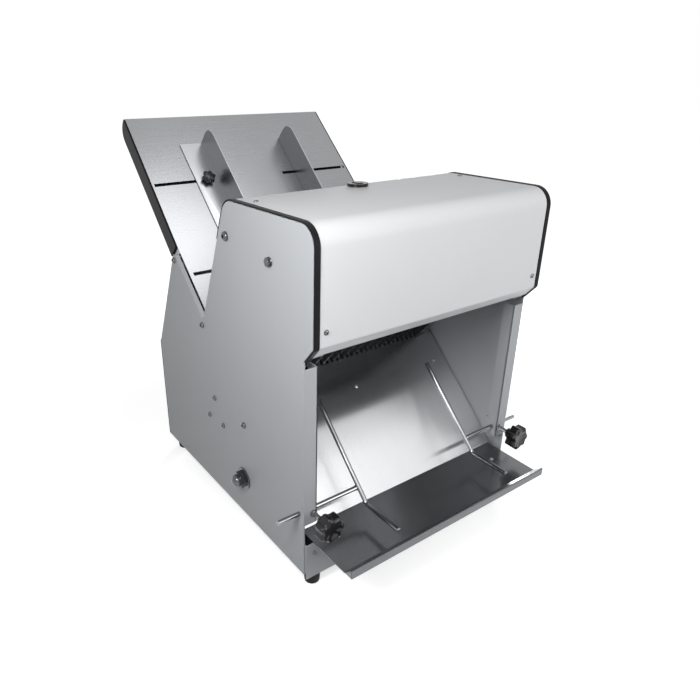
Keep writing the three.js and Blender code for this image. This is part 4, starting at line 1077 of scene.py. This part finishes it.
def pulley_profile(radius):
    """A pulley with a groove between two flanges, from its left face on."""
    half = [(0, PULLEY_BORE), (0, radius - PULLEY_EDGE), (PULLEY_EDGE, radius),
            (PULLEY_FLANGE, radius), (PULLEY_FLANGE, radius - GROOVE)]
    other = [(PULLEY_WIDTH - along, out) for along, out in reversed(half)]
    return half + other + half[:1]


for node, body, radius, place, steps in (
        ("motor_pulley", "motor_drive", 0.026, MOTOR, 48),
        ("crank_pulley", "crank", 0.056, CRANK, 64)):
    wheel = turned(pulley_profile(radius), (PULLEY_X, *place), along_x, steps)
    finish(node + "_turned", wheel, body, cast_iron, [node])
    print(node, "radius:", radius)

# %% Bearings with their three screws
BEARING_DEPTH, SCREW_RING, SCREW_ANGLES = 0.013, 0.0307, (88, 207, 328)
BEARING = [(0.013, 0), (0.013, 0.039), (0.012, 0.040), (0.006, 0.040), (0.005, 0.028),
           (0, 0.026), (0, 0.0096), (0.0098, 0.0096), (0.010, 0)]
SCREW_SHANK, SCREW_HEAD, SCREW_DEPTH = (0.003, 0.012), (0.005, 0.003), 0.010
for side, sign in SIDES:
    outward = (sign, 0, 0)
    inner = half_width - PANEL_SHEET - GAP - BEARING_DEPTH
    housing = turned(BEARING, (sign * inner, *CRANK), outward, steps=48)
    for angle in map(radians, SCREW_ANGLES):
        place = (CRANK[0] + SCREW_RING * cos(angle), CRANK[1] + SCREW_RING * sin(angle))
        shank_x, head_x = sign * (half_width - SCREW_DEPTH), sign * panel_face
        join(housing, turned(rod_profile(*SCREW_SHANK), (shank_x, *place), outward,
                             steps=16))
        join(housing, turned(dome(*SCREW_HEAD), (head_x, *place), outward))
    finish(f"bearing_{side}_turned", housing, "chassis", bolt_steel_painted_shade,
           [f"crank_bearing_{side}"])
print("bearings: 2")

# %% [markdown]
# ## Small screws and rivets
# Screws hold the cover, the apron and the tray, and rivets hold the plate.
# Each is a low domed head on the surface it holds, so one spun profile in two
# sizes serves all. The plate's and the tray's heads are bright, the others dark,
# with painted dark reflections in their steel.

# %% Place the small heads
def low_head(place, direction, radius=0.0042, height=0.0018):
    """A low domed screw head whose recess is a shallow socket."""
    socket = radius * 0.3
    profile = [(0, 0), (0, radius), (height * 0.4, radius * 0.97), (height * 0.8, radius * 0.72),
               (height, socket * 1.3), (height * 0.5, socket), (height * 0.45, 0)]
    return turned(profile, place, direction, steps=20)


COVER_FACE, APRON_FACE = 0.0021, -0.0041
TRAY_GAP = 0.0001
RIVET, RIVET_X, RIVET_DEPTH = (0.0035, 0.0014), 0.206, 0.0152
FORWARDS, UPWARDS = (0, -1, 0), (0, 0, 1)
top_pitch = atan2(REAR_TOP[1] - NOSE_TOP[1], REAR_TOP[0] + NOSE)
top_up = (0, -sin(top_pitch), cos(top_pitch))
screw_y = 0.162
screw_z = NOSE_TOP[1] + (screw_y + NOSE) * tan(top_pitch) + COVER_FACE
plate_up = (0, -sin(SLOPE_ANGLE), cos(SLOPE_ANGLE))
rivet_y = 0.175
rivet_z = BLADE_FOOT[1] + (rivet_y - BLADE_FOOT[0]) * table_lean - RIVET_DEPTH / cos(SLOPE_ANGLE)
screws = [
    ("cover", 0.2194, -NOSE - COVER_FACE, 0.439, FORWARDS),
    ("cover", 0.2145, screw_y, screw_z, top_up),
    ("apron", 0.221, APRON_FACE, 0.040, FORWARDS),
    ("tray", 0.1868, -0.020, TRAY_TOP + TRAY_GAP, UPWARDS),
]
heads = [(where, low_head((sign * x, y, z), facing))
         for sign in (-1, 1) for where, x, y, z, facing in screws]
heads += [("plate", low_head((x, rivet_y, rivet_z), plate_up, *RIVET))
          for x in (-RIVET_X, 0.0, RIVET_X)]
for index, (where, head) in enumerate(heads):
    metal = guide_steel if where in ("plate", "tray") else bolt_steel_painted_shade
    finish(f"{where}_screw_{index}", head, "chassis", metal)
print("small heads:", len(heads))

# %% [markdown]
# ## The stage
# The photograph shows the machine on a white ground with hardly a shadow.
# The floor and the world are white to the camera and in reflections, and the
# lamps give the soft light. Near the machine the floor glows less, so that
# its shadow shows.

# %% Floor
FLOOR_HALF = 6
GLOW_NEAR, GLOW_FAR = 0.62, 1.0
GLOW_START, GLOW_END = 0.45, 1.1
BOUNCE, SEEN_WHITE = 0.4, 0.86


def background_rays(tree):
    """A node that gives one where a ray comes from the camera, from gloss or through glass."""
    path = add_node(tree, "LightPath")
    first = add_node(tree, "Math", operation="MAXIMUM")
    second = add_node(tree, "Math", operation="MAXIMUM")
    wire(path, "Is Camera Ray", first, 0)
    wire(path, "Is Glossy Ray", first, 1)
    wire(first, "Value", second, 0)
    wire(path, "Is Transmission Ray", second, 1)
    return second


ground = bmesh.new()
bmesh.ops.create_grid(ground, x_segments=1, y_segments=1, size=FLOOR_HALF)
ground_mesh = to_mesh("ground", ground)
floor = to_scene("ground", ground_mesh)
floor_finish = bpy.data.materials.new("white floor")
floor_finish.use_nodes = True
tree = floor_finish.node_tree
shader = tree.nodes["Principled BSDF"]
shader.inputs["Roughness"].default_value = 0.9
shader.inputs["Specular IOR Level"].default_value = 0.0
shader.inputs["Emission Color"].default_value = (1, 1, 1, 1)
seen = background_rays(tree)
place = add_node(tree, "TexCoord")
distance = add_node(tree, "VectorMath", operation="LENGTH")
wire(place, "Object", distance, 0)
far = add_node(tree, "MapRange", {"From Min": GLOW_START, "From Max": GLOW_END,
                                  "To Min": GLOW_NEAR, "To Max": GLOW_FAR},
               interpolation_type="SMOOTHSTEP")
wire(distance, "Value", far, "Value")
glow = add_node(tree, "Math", operation="MULTIPLY")
wire(seen, "Value", glow, 0)
wire(far, "Result", glow, 1)
wire(glow, "Value", shader, "Emission Strength")
shade = add_node(tree, "MapRange", {"To Min": BOUNCE, "To Max": SEEN_WHITE})
wire(seen, "Value", shade, "Value")
wire(shade, "Result", shader, "Base Color")
ground_mesh.materials.append(floor_finish)
floor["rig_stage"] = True
print("floor:", 2 * FLOOR_HALF, "m wide")

# %% World
AMBIENT, WHITE = 0.12, 1.0
world = bpy.data.worlds.new("studio")
bpy.context.scene.world = world
world.use_nodes = True
tree = world.node_tree
sky = tree.nodes["Background"]
strength = add_node(tree, "MapRange", {"To Min": AMBIENT, "To Max": WHITE})
wire(background_rays(tree), "Value", strength, "Value")
sky.inputs["Color"].default_value = (1, 1, 1, 1)
wire(strength, "Result", sky, "Strength")
print("ambient light:", AMBIENT)

# %% [markdown]
# ## Lamps
# Large soft boxes stand where the photograph's highlights ask for them: two in
# front for the cover, two at the left for the panel, and one overhead, whose
# reflection makes the lower table bright. A low one behind lights the rear.

# %% Lamps
middle = (cad_low + cad_high) / 2
PANEL_AIM, TABLE_AIM = (-0.24, -0.1, 0.45), (-0.1, 0.1, 0.43)
soft_boxes = [
    ("front lamp", (0.0, -1.2, 1.1), middle, 0.6, 3.1),
    ("right front lamp", (0.5, -1.25, 0.6), middle, 0.5, 4.4),
    ("left lamp", (-0.73, -0.46, 0.81), PANEL_AIM, 0.33, 4.6),
    ("high left lamp", (-0.6, -0.75, 1.05), middle, 0.4, 1.1),
    ("overhead lamp", (0.31, -0.17, 1.9), TABLE_AIM, 0.48, 2.6),
    ("rear lamp", (1.15, 0.95, 0.3), middle, 0.5, 12),
]
for name, place, target, size, power in soft_boxes:
    lamp = bpy.data.lights.new(name, "AREA")
    lamp.size = size
    lamp.energy = power
    holder = to_scene(name, lamp)
    holder.location = place
    aim = Vector(target) - Vector(place)
    holder.rotation_euler = aim.to_track_quat("-Z", "Y").to_euler()
print("lamps:", len(soft_boxes))

# %% [markdown]
# ## The camera
# The camera's place was found from the straight edges of the casing in the
# photograph: their directions give the viewpoint, the tilt and the lens.

# %% Place the camera
CAMERA_PLACE = (-0.6954, -0.6736, 0.7936)
AZIMUTH, PITCH_DOWN, ROLL = radians(-38.561), radians(25.241), radians(1.954)
FOCAL_PIXELS, IMAGE_WIDTH, SENSOR_WIDTH = 650.98, 700, 36

back = Vector((sin(AZIMUTH) * cos(PITCH_DOWN), -cos(AZIMUTH) * cos(PITCH_DOWN), sin(PITCH_DOWN)))
level_right = Vector((cos(AZIMUTH), sin(AZIMUTH), 0))
level_up = back.cross(level_right)
right = level_right * cos(ROLL) + level_up * sin(ROLL)
up = back.cross(right)
lens = bpy.data.cameras.new("photo view")
lens.sensor_width = SENSOR_WIDTH
lens.lens = FOCAL_PIXELS * SENSOR_WIDTH / IMAGE_WIDTH
camera = to_scene("photo view", lens)
turn = Matrix((right, up, back)).transposed().to_4x4()
camera.matrix_world = Matrix.Translation(spot(*CAMERA_PLACE)) @ turn
bpy.context.scene.camera = camera
print("lens:", round(lens.lens, 2), "mm")

bpy.context.scene.view_settings.view_transform = "Standard"

# %% [markdown]
# ## Measure and finish
# The box of the dressed machine is printed, as the box of the solids was at
# the start. The dressed machine has to fit the box of its solids.

# %% Print the box of the dressed machine
low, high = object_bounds()
print("visual box:", [round(v, 3) for v in (*low, *high)])
